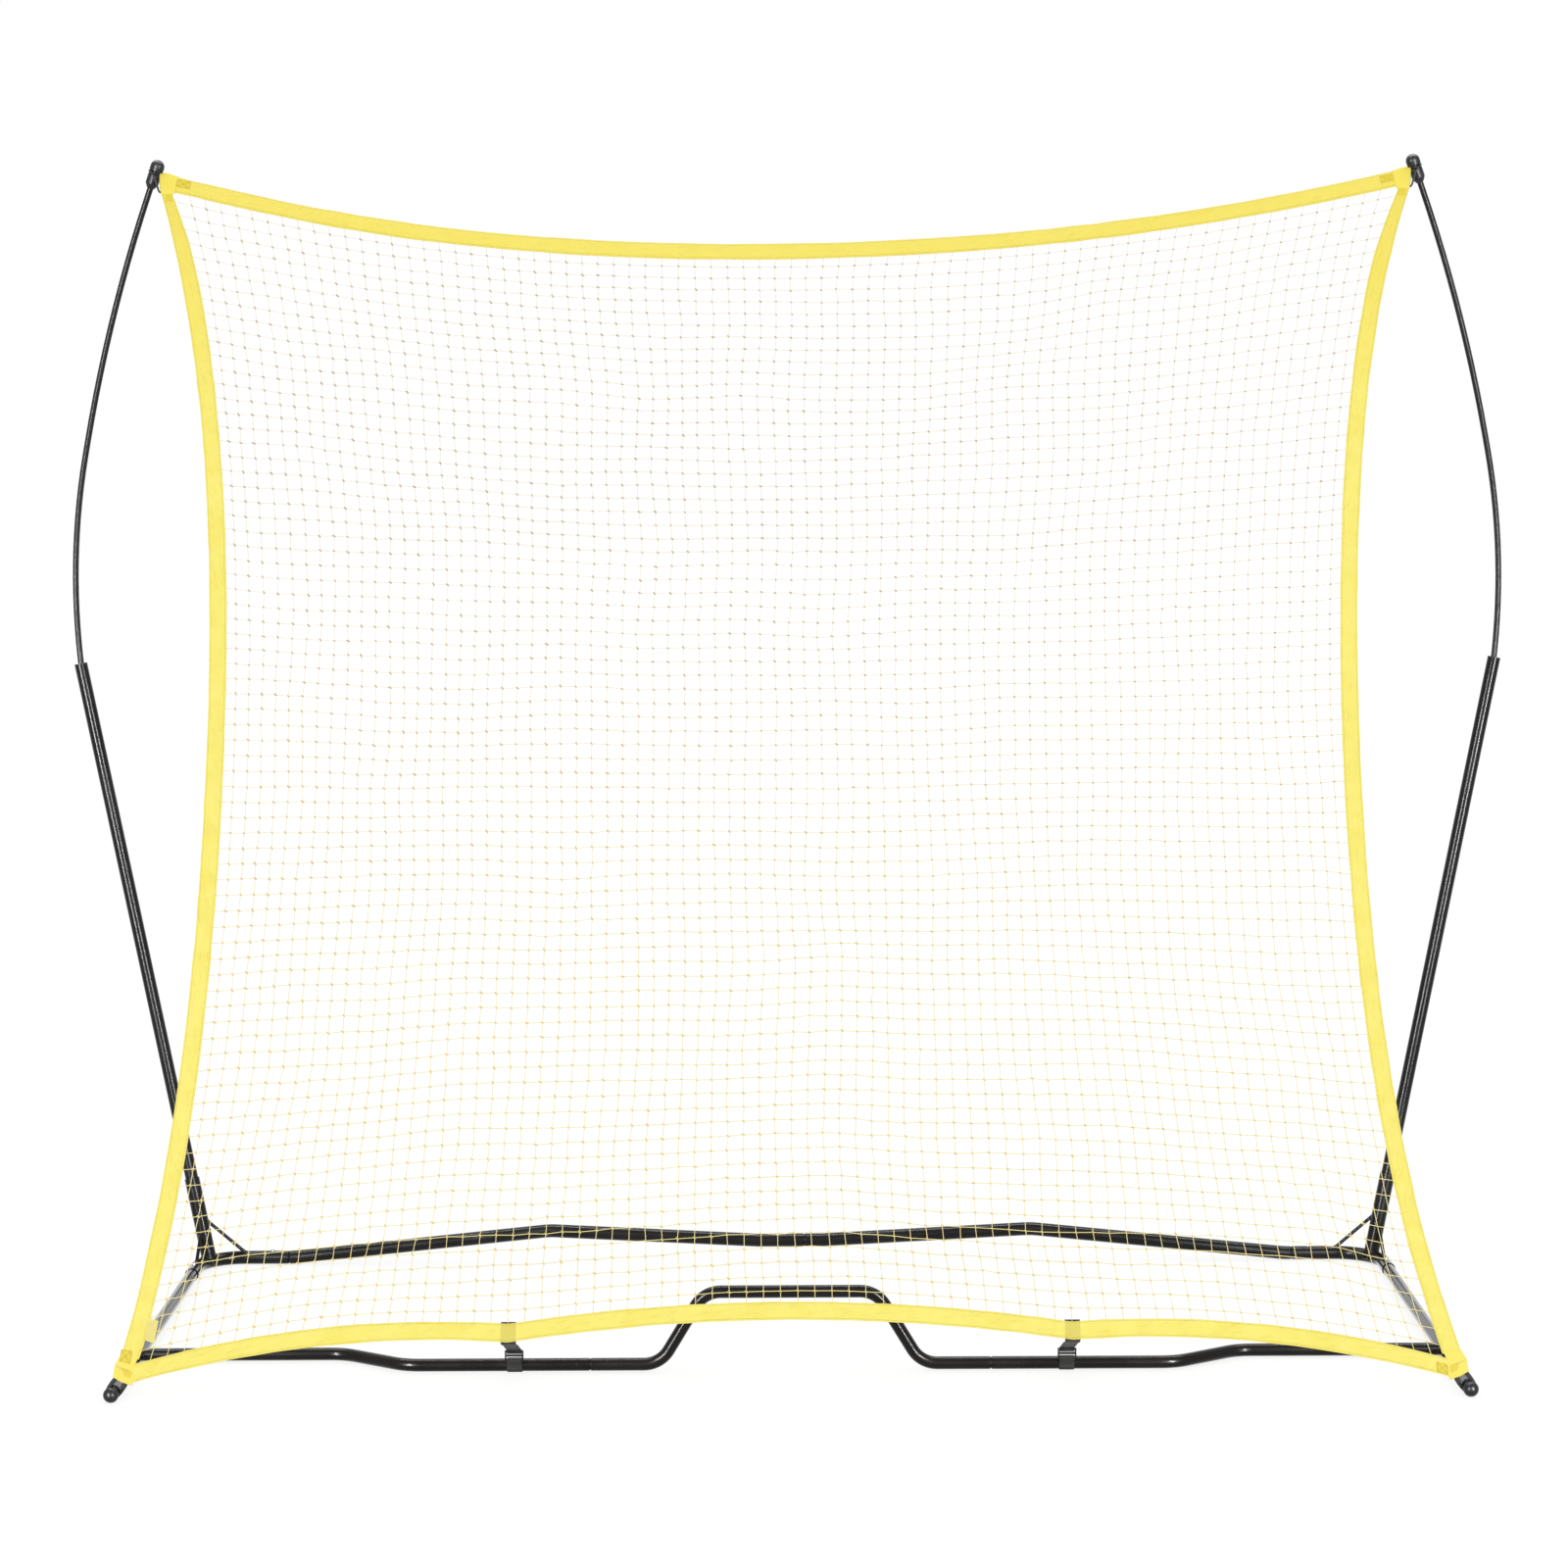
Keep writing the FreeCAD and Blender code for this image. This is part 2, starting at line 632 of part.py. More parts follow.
def upright_frame(along=0.0):
    """Return the placement of something that stands on the upright's axis, at a distance from its base."""
    direction = upright_direction()
    return Placement(socket_base() + direction * along, Rotation(Vector(0, 0, 1), direction))


def envelope(name, diameter, length, placement):
    """Make a plain cylinder, used as a cutter."""
    cylinder = DOC.addObject("Part::Cylinder", name)
    cylinder.Radius = diameter.value / 2
    cylinder.setExpression("Radius", (diameter / 2).text)
    cylinder.Height = length.value
    cylinder.setExpression("Height", length.text)
    cylinder.Placement = placement
    return cylinder


def cut(name, base, tool):
    """Cut one shape from another."""
    result = DOC.addObject("Part::Cut", name)
    result.Base = base
    result.Tool = tool
    return result


def upright_sockets(corner_solid):
    """Make the sockets, fitted to the corner tube that they are welded on."""
    body = new_body("upright_socket_blank")
    bore = size("upright_tube") + size("slip_gap") * 2
    wall = (size("socket_diameter") - bore) / 2
    straight_tube(body, "XY_Plane", ZERO, ZERO, ZERO, size("socket_length"), size("socket_diameter"), wall)
    body.Placement = upright_frame()
    both_sides(cut("upright_socket", body, corner_solid), "upright_socket")


def brace(name, start, end, corner_solid, socket_solid):
    """Make a brace rod between two axes, fitted to the round tubes that it is welded to."""
    run = end - start
    placement = Placement(start, Rotation(Vector(0, 0, 1), run))
    rod = envelope(f"{name}_blank", size("brace_diameter"), as_measure(run.Length), placement)
    both_sides(cut(name, cut(f"{name}_step", rod, socket_solid), corner_solid), name)


def braces(corner_solid):
    """Make the inner and outer brace rods."""
    socket_solid = envelope("socket_solid", size("socket_diameter"), size("socket_length"), upright_frame())
    rear_end = Vector(size("inner_brace_half").value, REAR_Y.value, AXIS.value)
    side_end = Vector(KNOB_HALF.value, back(size("outer_brace_back")).value, AXIS.value)
    for name, height, end in (("brace_inner", "inner_brace_height", rear_end), ("brace_outer", "outer_brace_height", side_end)):
        start = upright_frame(size(height).value).Base
        brace(name, start, end, corner_solid, socket_solid)


def upright_tubes():
    """Make the straight uprights that stand in the sockets."""
    body = new_body("upright_tube")
    start = size("upright_start")
    length = size("upright_reach") - start
    straight_tube(body, "XY_Plane", ZERO, ZERO, start, length, size("upright_tube"), size("tube_wall"))
    body.Placement = upright_frame()
    both_sides(body, "upright_tube")


def bow_frame():
    """Return the placement of the bowed rod: origin at its foot, Z up the rod there, X the way it bows."""
    along = upright_direction()
    heading = math.radians(size("rod_heading").value)
    inward = Vector(-math.cos(heading), -math.sin(heading), 0)
    inward = (inward - along * inward.dot(along)).normalize()
    mouth = socket_base() + along * size("upright_reach").value
    foot = mouth - along * size("rod_foot_depth").value - inward * size("rod_foot_offset").value
    tip = math.radians(size("rod_foot_angle").value)
    up = along * math.cos(tip) + inward * math.sin(tip)
    across = inward * math.cos(tip) - along * math.sin(tip)
    return Placement(foot, Rotation(across, Vector(), up, "ZXY"))


def bow_corners(foot):
    """Return the corners of the bowed rod's centre line in its own frame."""
    first = size("rod_lower_turn")
    second = first + size("rod_upper_turn")
    low_z = size("rod_foot_run")
    high_x = size("rod_middle_run") * sine(first)
    high_z = low_z + size("rod_middle_run") * cosine(first)
    tip_x = high_x + size("rod_tip_run") * sine(second)
    tip_z = high_z + size("rod_tip_run") * cosine(second)
    return [
        (ZERO, foot, None),
        (ZERO, low_z, size("rod_lower_bend")),
        (high_x, high_z, size("rod_upper_bend")),
        (tip_x, tip_z, None),
    ]


def bowed_rod(name, diameter, foot):
    """Make the bowed rod, or the slightly larger shape that its seats are cut with."""
    body = new_body(name)
    path = new_sketch(body, "XZ_Plane")
    add_outline(path, bow_corners(foot), False)
    profile = ring_profile(body, "XY_Plane", foot, ZERO, ZERO, diameter, None)
    sweep(body, path, profile)
    body.Placement = bow_frame()
    return body


def cap_frame():
    """Return the placement of the tip cap: origin where the rod enters it, Z along the rod's last run."""
    frame = bow_frame()
    x, z, _ = bow_corners(ZERO)[-1]
    turn = math.radians((size("rod_lower_turn") + size("rod_upper_turn")).value)
    direction = frame.Rotation.multVec(Vector(math.sin(turn), 0, math.cos(turn)))
    tip = frame.multVec(Vector(x.value, 0, z.value))
    start = tip - direction * size("cap_bore_depth").value
    return Placement(start, Rotation(Vector(0, 0, 1), direction))


def rods():
    """Make the bowed rods, the bushes and seats that hold their feet, and the caps on their tips."""
    both_sides(bowed_rod("rod", size("rod_diameter"), ZERO), "rod")
    gap = size("rod_gap")
    cutter = bowed_rod("rod_cutter", size("rod_diameter") + gap * 2, -gap)
    mouth = size("upright_reach")
    plug = size("upright_tube") / 2 - size("tube_wall") - size("plug_gap")
    rim = size("upright_tube") / 2

    bush = new_body("rod_bush_blank")
    corners = [
        (ZERO, mouth - size("bush_length"), None), (plug, mouth - size("bush_length"), None),
        (plug, mouth, None), (rim, mouth, None),
        (rim, mouth + size("bush_flange"), None), (ZERO, mouth + size("bush_flange"), None),
    ]
    turned(bush, "XZ_Plane", ZERO, ZERO, ZERO, "V_Axis", corners)
    bush.Placement = upright_frame()
    both_sides(cut("rod_bush", bush, cutter), "rod_bush")

    low = mouth - size("seat_bottom")
    length = size("seat_bottom") - size("seat_top")
    seat = envelope("rod_seat_blank", plug * 2, length, upright_frame(low.value))
    both_sides(cut("rod_seat", seat, cutter), "rod_seat")


def tip_caps():
    """Make the rod's caps: a skirt over the rod, a neck for the loop and a dome."""
    body = new_body("tip_cap")
    bore = size("rod_diameter") / 2 + size("rod_gap")
    bulge = size("cap_bulge") / 2
    neck = size("cap_neck") / 2
    dome = size("cap_dome") / 2
    floor = size("cap_bore_depth") + size("rod_gap")
    edge = size("cap_edge_round")
    slope = size("cap_neck_slope")
    corners = [
        (ZERO, floor, None), (bore, floor, None), (bore, ZERO, None),
        (size("cap_skirt_end") / 2, ZERO, None), (bulge, size("cap_skirt_length"), size("cap_skirt_round")),
        (bulge, size("cap_bulge_end"), edge), (neck, size("cap_bulge_end") + slope, None),
        (neck, size("cap_neck_end") - slope, None), (dome, size("cap_neck_end"), edge),
        (dome, size("cap_length"), dome - size("cap_top_flat")), (ZERO, size("cap_length"), None),
    ]
    turned(body, "XZ_Plane", ZERO, ZERO, ZERO, "V_Axis", corners)
    body.Placement = cap_frame()
    both_sides(body, "tip_cap")


def button_places():
    """Return each snap button's name, the point of the tube's axis under it and whether its tube runs in Y."""
    rear_x = size("rear_seam_half") + size("button_inset")
    side_y = back(size("side_seam_back") + size("button_inset"))
    centre = size("arch_centre_height")
    return (
        ("rear_right", Vector(rear_x.value, REAR_Y.value, AXIS.value), 0),
        ("rear_left", Vector(-rear_x.value, REAR_Y.value, AXIS.value), 180),
        ("rear_centre", Vector(0, REAR_Y.value, centre.value), 180),
        ("side_right", Vector(KNOB_HALF.value, side_y.value, AXIS.value), 90),
        ("side_left", Vector(-KNOB_HALF.value, side_y.value, AXIS.value), 90),
    )


def leaf_level():
    """Return the height of the moving leaf's upper face above the tube's axis, where its edges clear the wall."""
    inner = SPIGOT_HALF - size("tube_wall")
    half = size("leaf_width") / 2
    level = math.sqrt(inner.value**2 - half.value**2) - size("leaf_gap").value
    text = f"(sqrt({inner.text}^2 - {half.text}^2) - {size('leaf_gap').text})"
    return Measure(level, text)


def snap_buttons():
    """Make the snap buttons, each with the spring leaf that it sits on, and the fixed leaves below them."""
    level = leaf_level()
    thick = size("leaf_thickness")
    radius = size("button_diameter") / 2
    top = size("corner_tube") / 2 + size("button_stand")
    reach = size("leaf_reach")
    tail = size("leaf_tail")
    springs = []
    for name, place, turn in button_places():
        placement = Placement(place, Rotation(Vector(0, 0, 1), turn))
        body = new_body(f"snap_button_{name}")
        leaf = [
            (-tail, level - thick, None), (reach, level - thick, None),
            (reach, level, None), (-tail, level, None),
        ]
        prism(body, "XZ_Plane", ZERO, leaf, size("leaf_width"))
        pin = [(ZERO, level - thick / 2, None), (radius, level - thick / 2, None), (radius, top, radius * 0.8), (ZERO, top, None)]
        turned(body, "XZ_Plane", ZERO, ZERO, ZERO, "V_Axis", pin)
        body.Placement = placement
        keep(body, f"snap_button_{name}")

        spring = new_body(f"spring_{name}")
        wall = reach + size("leaf_end_gap")
        bent = [
            (-tail, -level, None), (wall + thick, -level, thick * 2), (wall + thick, level, None),
            (wall, level, None), (wall, thick - level, thick), (-tail, thick - level, None),
        ]
        prism(spring, "XZ_Plane", ZERO, bent, size("leaf_width"))
        spring.Placement = placement
        springs.append(spring)
    group = DOC.addObject("Part::Compound", "snap_button_springs")
    group.Links = springs
    keep(group, "snap_button_springs")


def net_frame():
    """Return the placement of the net's plane: X across, Y up the plane and Z towards the player."""
    foot = Vector(0, back(size("net_foot_back")).value, size("net_foot_height").value)
    return Placement(foot, Rotation(Vector(1, 0, 0), 90 - size("net_tilt").value))


def side_edge(up):
    """Return how far out a side band's outer edge lies, on the curve through its five named places."""
    low = size("side_low").value
    step = (size("side_high").value - low) / 4
    names = ("side_half_low", "side_half_quarter", "side_half_waist", "side_half_upper", "side_half_high")
    total = 0.0
    for i, name in enumerate(names):
        share = size(name).value
        for j in range(5):
            if j != i:
                share *= ((up - low) / step - j) / (i - j)
        total += share
    return total


def top_edge(across):
    """Return the height of the top band's upper edge, a parabola."""
    return size("top_middle").value + size("top_rise").value * (across / size("top_half").value) ** 2


def bottom_edge(across):
    """Return the height of the bottom band's upper edge: an arch between the straps and one outside each."""
    strap = size("strap_half").value
    level = size("bottom_strap").value
    if abs(across) <= strap:
        middle = size("bottom_middle").value
        return middle + (level - middle) * (across / strap) ** 2
    share = (abs(across) - strap) / (size("bottom_band_half").value - strap)
    chord = level + (size("bottom_corner").value - level) * share
    return chord + 4 * size("bottom_bulge").value * share * (1 - share)


def inner_edge(edge, at, width):
    """Move an edge curve by the band's width, square to the curve."""
    slope = edge(at + 1) - edge(at - 1)
    return edge(at) - width * math.sqrt(1 + slope * slope / 4)


def smooth_edge(points):
    """Return a smooth edge through points."""
    curve = Part.BSplineCurve()
    curve.interpolate(points)
    return curve.toShape()


def net_piece(name, face, thickness):
    """Extrude a flat face that is drawn in the net's plane, half to each side."""
    piece = DOC.addObject("Part::Feature", name)
    piece.Shape = face.extrude(Vector(0, 0, thickness.value))
    rear = Placement(Vector(0, 0, -thickness.value / 2), Rotation())
    piece.Placement = net_frame().multiply(rear)
    return piece


def strip(name, outer, inner):
    """Make a band from the points of its two long edges."""
    ends = [Part.LineSegment(outer[-1], inner[-1]).toShape(), Part.LineSegment(inner[0], outer[0]).toShape()]
    wire = Part.Wire([smooth_edge(outer), ends[0], smooth_edge(inner), ends[1]])
    return net_piece(name, Part.Face(wire), size("band_thickness"))


def spread(start, end, count):
    """Return evenly spaced numbers from start to end."""
    return [start + (end - start) * k / count for k in range(count + 1)]


def side_bands():
    """Make the curved side bands."""
    width = size("band_width").value
    ups = spread(size("side_low").value, size("side_high").value, 8)
    outer = [Vector(side_edge(up), up, 0) for up in ups]
    inner = [Vector(inner_edge(side_edge, up, width), up, 0) for up in ups]
    both_sides(strip("band", outer, inner), "band")


def top_band():
    """Make the sagging top band."""
    width = size("band_width").value
    half = size("top_band_half").value
    places = spread(-half, half, 8)
    outer = [Vector(x, top_edge(x), 0) for x in places]
    inner = [Vector(x, inner_edge(top_edge, x, width), 0) for x in places]
    keep(strip("band_top", outer, inner), "band_top")


def bottom_bays(end, shift):
    """Return the edges, from left to right, of the bottom band's upper edge moved by the shift."""
    strap = size("strap_half").value
    stops = [-end, -strap, strap, end]
    bays = []
    for start, stop in zip(stops, stops[1:]):
        bays.append(smooth_edge([Vector(x, bottom_edge(x) + shift, 0) for x in spread(start, stop, 6)]))
    return bays


def bottom_band():
    """Make the bottom band from three bays, which meet where the straps pull it down."""
    width = size("band_width").value
    half = size("bottom_band_half").value
    ends = []
    for x in (-half, half):
        high = bottom_edge(x)
        ends.append(Part.LineSegment(Vector(x, high - width, 0), Vector(x, high, 0)).toShape())
    wire = Part.Wire(bottom_bays(half, 0) + [ends[1]] + bottom_bays(half, -width)[::-1] + [ends[0]])
    keep(net_piece("band_bottom", Part.Face(wire), size("band_thickness")), "band_bottom")


def net_node(across, up):
    """Return a point of the net for shares from -1 to 1 across and 0 to 1 up, between the bands."""
    width = size("band_width").value
    gap = size("net_gap").value
    x = across * side_edge(up * size("side_high").value)
    y = 0.0
    for _ in range(40):
        low = bottom_edge(x) + gap
        high = inner_edge(top_edge, x, width) - gap
        y = low + (high - low) * up
        x = across * (inner_edge(side_edge, y, width) - gap)
    return Vector(x, y, 0)


def net_mesh():
    """Make the net's simple form: one flat face with a square gap in each cell."""
    steps = 2 * int(size("net_cells").value)
    nodes = [[net_node(2 * i / steps - 1, j / steps) for i in range(steps + 1)] for j in range(steps + 1)]
    border = bottom_bays(nodes[0][-1].x, size("net_gap").value) + [
        smooth_edge([row[-1] for row in nodes]),
        smooth_edge(nodes[-1][::-1]),
        smooth_edge([row[0] for row in nodes][::-1]),
    ]
    wires = [Part.Wire(border)]
    for j in range(0, steps, 2):
        for i in range(0, steps, 2):
            wires.append(cell_hole(nodes, i, j))
    face = Part.makeFace(wires, "Part::FaceMakerBullseye")
    keep(net_piece("net_mesh", face, size("net_thickness")), "net_mesh")


def cell_hole(nodes, i, j):
    """Return the outline of one gap: its cell drawn in by half a strand, and bent where it follows a band."""
    last = len(nodes) - 1
    cell = []
    for right, up in ((0, 0), (1, 0), (2, 0), (2, 1), (2, 2), (1, 2), (0, 2), (0, 1)):
        beside_band = i + right in (0, last) or j + up in (0, last)
        if beside_band or 1 not in (right, up):
            cell.append(nodes[j + up][i + right])
    corners = []
    for k, point in enumerate(cell):
        into = (point - cell[k - 1]).normalize()
        out = (cell[(k + 1) % len(cell)] - point).normalize()
        inward = Vector(-into.y - out.y, into.x + out.x, 0)
        corners.append(point + inward * (size("net_strand").value / 2 / (1 + into.dot(out))))
    return Part.Wire(Part.makePolygon(corners + corners[:1]).Edges)


def patch(name, corners):
    """Make a sewn corner patch in the net's plane."""
    body = new_body(name)
    prism(body, "XY_Plane", ZERO, [(x, y, None) for x, y in corners], size("patch_thickness"))
    body.Placement = net_frame()
    both_sides(body, name)


def corner_patches():
    """Make the folded corner patches, low and high."""
    inner = size("low_patch_inner")
    foot = size("bottom_band_half")
    patch("corner_patch_low", [
        (size("low_patch_half"), size("low_patch_tip")),
        (foot, size("low_patch_foot")),
        (foot, size("bottom_corner") + size("low_patch_lap")),
        (inner, size("low_patch_step")),
        (inner, size("side_low")),
        (size("side_half_low"), size("side_low")),
    ])
    inner = size("top_band_half")
    patch("corner_patch_high", [
        (inner, size("side_high")),
        (size("side_half_high"), size("side_high")),
        (size("high_patch_half"), size("high_patch_tip")),
        (inner, size("high_patch_tip") - size("high_patch_drop")),
    ])


def band_label():
    """Make the small blank label at the left band's inner edge, on the player's side."""
    low = size("label_low").value
    height = size("label_height").value
    edge = min(inner_edge(side_edge, up, size("band_width").value) for up in spread(low, low + height, 4))
    body = new_body("band_label")
    outer = Measure(-edge, str(round(-edge, 3)))
    inner = outer + size("label_width")
    base = size("label_low")
    top = base + size("label_height")
    lift = size("net_thickness") / 2 + size("net_gap") + size("label_thickness") / 2
    corners = [(outer, base, None), (inner, base, None), (inner, top, None), (outer, top, None)]
    prism(body, "XY_Plane", lift, corners, size("label_thickness"))
    body.Placement = net_frame()
    keep(body, "band_label")


def low_corner_loops():
    """Make the webbing loops that hold the low patches to the knobs' necks."""
    body = new_body("corner_loop_low")
    gap = size("loop_gap")
    hole = size("knob_neck") / 2 + gap
    half = size("loop_half")
    floor = AXIS - hole
    ground = size("loop_ground_gap")
    bend = half - size("loop_foot_half")
    top = size("loop_top")
    left = KNOB_HALF - half
    right = KNOB_HALF + half
    corners = [
        (left, top, None), (left, ground, bend), (right, ground, bend), (right, top, None),
        (KNOB_HALF + hole, top, None), (KNOB_HALF + hole, floor, hole - gap),
        (KNOB_HALF - hole, floor, hole - gap), (KNOB_HALF - hole, top, None),
    ]
    middle = back(size("loop_front") + size("loop_thickness") / 2)
    prism(body, "XZ_Plane", -middle, corners, size("loop_thickness"))
    both_sides(body, "corner_loop_low")


def cord_wire(points):
    """Join points by straight runs and tangent arcs, each arc 0.45 of its shorter run."""
    edges = []
    last = points[0]
    for before, corner, after in zip(points, points[1:], points[2:]):
        into = corner - before
        out = after - corner
        reach = 0.45 * min(into.Length, out.Length)
        start = corner - into.normalize() * reach
        end = corner + out.normalize() * reach
        middle_way = ((start - corner) + (end - corner)).normalize()
        half_turn = into.getAngle(out) / 2
        radius = reach / math.tan(half_turn)
        middle = corner + middle_way * (radius / math.cos(half_turn) - radius)
        edges.append(Part.LineSegment(last, start).toShape())
        edges.append(Part.Arc(start, middle, end).toShape())
        last = end
    edges.append(Part.LineSegment(last, points[-1]).toShape())
    return Part.Wire(edges)


def high_corner_loops():
    """Make the elastic loops: from a high patch's back, behind the cap, round its neck and down to the patch's edge."""
    net = net_frame()
    cap = cap_frame()
    axis = cap.Rotation.multVec(Vector(0, 0, 1))
    neck = cap.multVec(Vector(0, 0, (size("cap_bulge_end") + size("cap_neck_end")).value / 2))
    front = Vector(0, -1, 0)
    front = (front - axis * front.dot(axis)).normalize()
    outward = axis.cross(front)
    outward = outward * (1 if outward.x > 0 else -1)
    cord = size("cord_diameter").value
    gap = size("loop_gap").value
    hold = size("cap_neck").value / 2 + cord / 2 + gap
    clear = size("cap_bulge").value / 2 + cord / 2 + gap
    stub = cord + gap
    inset = size("cord_inset").value
    corner = size("high_patch_half").value
    tip = size("high_patch_tip").value
    foot = size("side_high").value
    slope = (corner - size("side_half_high").value) / (tip - foot)
    edge = size("side_half_high").value + slope * inset + gap
    behind = -(size("patch_thickness").value / 2 + gap)

    def about(ahead, out, up):
        """Return a point about the neck: to its front, to its outer side and up its axis."""
        return neck + front * ahead + outward * out + axis * up

    points = [
        net.multVec(Vector(corner - inset, tip - inset, behind)),
        net.multVec(Vector(corner - inset, tip - inset, behind - stub)),
        about(-1.25 * hold, -0.9 * hold, 0),
        about(-1.05 * hold, hold, 0),
        about(1.05 * hold, hold, 0),
        about(1.15 * clear, -0.3 * clear, -0.4 * clear),
        net.multVec(Vector(edge + stub, foot + inset, 0)),
        net.multVec(Vector(edge, foot + inset, 0)),
    ]
    wire = cord_wire(points)
    start = wire.Edges[0]
    ring = Part.Circle(points[0], start.tangentAt(start.FirstParameter), cord / 2)
    shell = Part.Wire(wire).makePipeShell([Part.Wire(ring.toShape())], True, False)
    expected = math.pi * (cord / 2) ** 2 * wire.Length
    print(f"high corner loop: volume {shell.Volume:.1f}, section times length {expected:.1f}")
    piece = DOC.addObject("Part::Feature", "corner_loop_high")
    piece.Shape = shell
    both_sides(piece, "corner_loop_high")


def hinge_point():
    """Return the world Y and Z of the buckle's hinge bar."""
    angle = math.radians(size("buckle_angle").value)
    reach = size("buckle_distance").value
    return INNER_Y.value + reach * math.cos(angle), AXIS.value + reach * math.sin(angle)


def ribbon(points, thickness):
    """Return the outline of a webbing seen on edge, with mitred corners, from its centre line."""
    sides = ([], [])
    for k, point in enumerate(points):
        into = (point - points[k - 1]).normalize() if k else (points[1] - point).normalize()
        out = (points[k + 1] - point).normalize() if k + 1 < len(points) else into
        along = (into + out).normalize()
        square = Vector(0, -along.z, along.y)
        reach = thickness / 2 / max(along.dot(out), 0.5)
        sides[0].append(point + square * reach)
        sides[1].append(point - square * reach)
    corners = sides[0] + sides[1][::-1]
    return Part.Wire(Part.makePolygon(corners + corners[:1]).Edges)


def net_straps():
    """Make the straps: sewn behind the bottom band, back to the buckle, over its end bar and down behind it."""
    thick = size("strap_thickness").value
    width = size("strap_width").value
    frame = net_frame()
    behind = -(size("band_thickness").value / 2 + size("net_gap").value + thick / 2)
    level = size("bottom_strap").value
    high = frame.multVec(Vector(0, level + size("strap_stand").value, behind))
    low = frame.multVec(Vector(0, level - size("band_width").value, behind))
    hinge_y, hinge_z = hinge_point()
    lean = math.radians(size("buckle_lean").value)
    half = size("buckle_thickness").value / 2
    gap = size("buckle_gap").value
    clear = half + gap + thick / 2
    turn = half + (gap + thick / 2) * math.tan(math.radians(22.5))
    end_bar = size("buckle_end").value

    def at(along, behind_bar):
        """Return a point beside the buckle: up its length and behind its bars."""
        y = hinge_y - math.sin(lean) * along + math.cos(lean) * behind_bar
        z = hinge_z + math.cos(lean) * along + math.sin(lean) * behind_bar
        return Vector(0, y, z)

    stop = size("buckle_middle").value + half + gap
    points = [high, low, at(end_bar + clear, 0), at(end_bar + clear, turn), at(end_bar + turn, clear), at(stop, clear)]
    face = Part.Face(ribbon(points, thick))
    solid = face.extrude(Vector(width, 0, 0))
    solid.translate(Vector(size("strap_half").value - width / 2, 0, 0))
    piece = DOC.addObject("Part::Feature", "net_strap")
    piece.Shape = solid
    both_sides(piece, "net_strap")


def cross_cylinder(name, radius, y, z, inset):
    """Make a cylinder along X over the strap's width."""
    cylinder = DOC.addObject("Part::Cylinder", name)
    cylinder.Radius = radius.value
    cylinder.setExpression("Radius", radius.text)
    length = size("strap_width") + inset * 2
    cylinder.Height = length.value
    cylinder.setExpression("Height", length.text)
    start = size("strap_half").value - length.value / 2
    cylinder.Placement = Placement(Vector(start, y, z), Rotation(Vector(0, 1, 0), 90))
    return cylinder


def bar_loops():
    """Make the webbing loops round the front bar, each with an eye round the buckle's hinge bar."""
    bore = size("front_tube") / 2 + size("strap_gap")
    thick = size("strap_thickness")
    eye_bore = size("buckle_thickness") / 2 + size("eye_gap")
    hinge_y, hinge_z = hinge_point()
    centre = (INNER_Y.value, AXIS.value)
    outside = cross_cylinder("loop_outside", bore + thick, *centre, ZERO)
    eye = cross_cylinder("loop_eye", eye_bore + thick, hinge_y, hinge_z, ZERO)
    link = DOC.addObject("Part::Box", "loop_link")
    link.Length = size("strap_width").value
    link.setExpression("Length", size("strap_width").text)
    link.Width = size("buckle_distance").value
    link.setExpression("Width", size("buckle_distance").text)
    link.Height = thick.value * 2
    link.setExpression("Height", (thick * 2).text)
    start = Vector(size("strap_half").value - size("strap_width").value / 2, *centre)
    direction = Rotation(Vector(1, 0, 0), size("buckle_angle").value)
    link.Placement = Placement(start + direction.multVec(Vector(0, 0, -thick.value)), direction)
    joined = DOC.addObject("Part::MultiFuse", "loop_blank")
    joined.Shapes = [outside, eye, link]
    hole = cross_cylinder("loop_bore", bore, *centre, as_measure(1))
    eye_hole = cross_cylinder("loop_eye_bore", eye_bore, hinge_y, hinge_z, as_measure(1))
    both_sides(cut("bar_loop", cut("loop_step", joined, hole), eye_hole), "bar_loop")


def slab(body, x, y, z, width, depth, height):
    """Add a block to a body: its low corner and its size along X, Y and Z."""
    block = body.newObject("PartDesign::AdditiveBox", "Block")
    attach(block, body, "XY_Plane", x, y, z)
    for name, measure in (("Length", width), ("Width", depth), ("Height", height)):
        setattr(block, name, measure.value)
        block.setExpression(name, measure.text)


def strap_buckles():
    """Make the ladder locks: two rails, a round hinge bar in the webbing's eye, a middle bar and an end bar."""
    body = new_body("strap_buckle")
    width = size("buckle_width")
    rail = size("buckle_rail")
    thick = size("buckle_thickness")
    half = thick / 2
    tail = size("buckle_tail")
    end = size("buckle_end")
    inside = width / 2 - rail
    for side in (-width / 2, inside):
        slab(body, side, -half, -tail, rail, thick, tail + end + half)
    hinge = body.newObject("PartDesign::AdditiveCylinder", "HingeBar")
    attach(hinge, body, "YZ_Plane", lift=-inside)
    hinge.Radius = half.value
    hinge.setExpression("Radius", half.text)
    hinge.Height = (inside * 2).value
    hinge.setExpression("Height", (inside * 2).text)
    slab(body, -inside, -half, size("buckle_middle") - half, inside * 2, thick, thick)
    slab(body, -inside, -half, end - half, inside * 2, thick, thick)
    hinge_y, hinge_z = hinge_point()
    lean = Rotation(Vector(1, 0, 0), size("buckle_lean").value)
    body.Placement = Placement(Vector(size("strap_half").value, hinge_y, hinge_z), lean)
    both_sides(body, "strap_buckle")


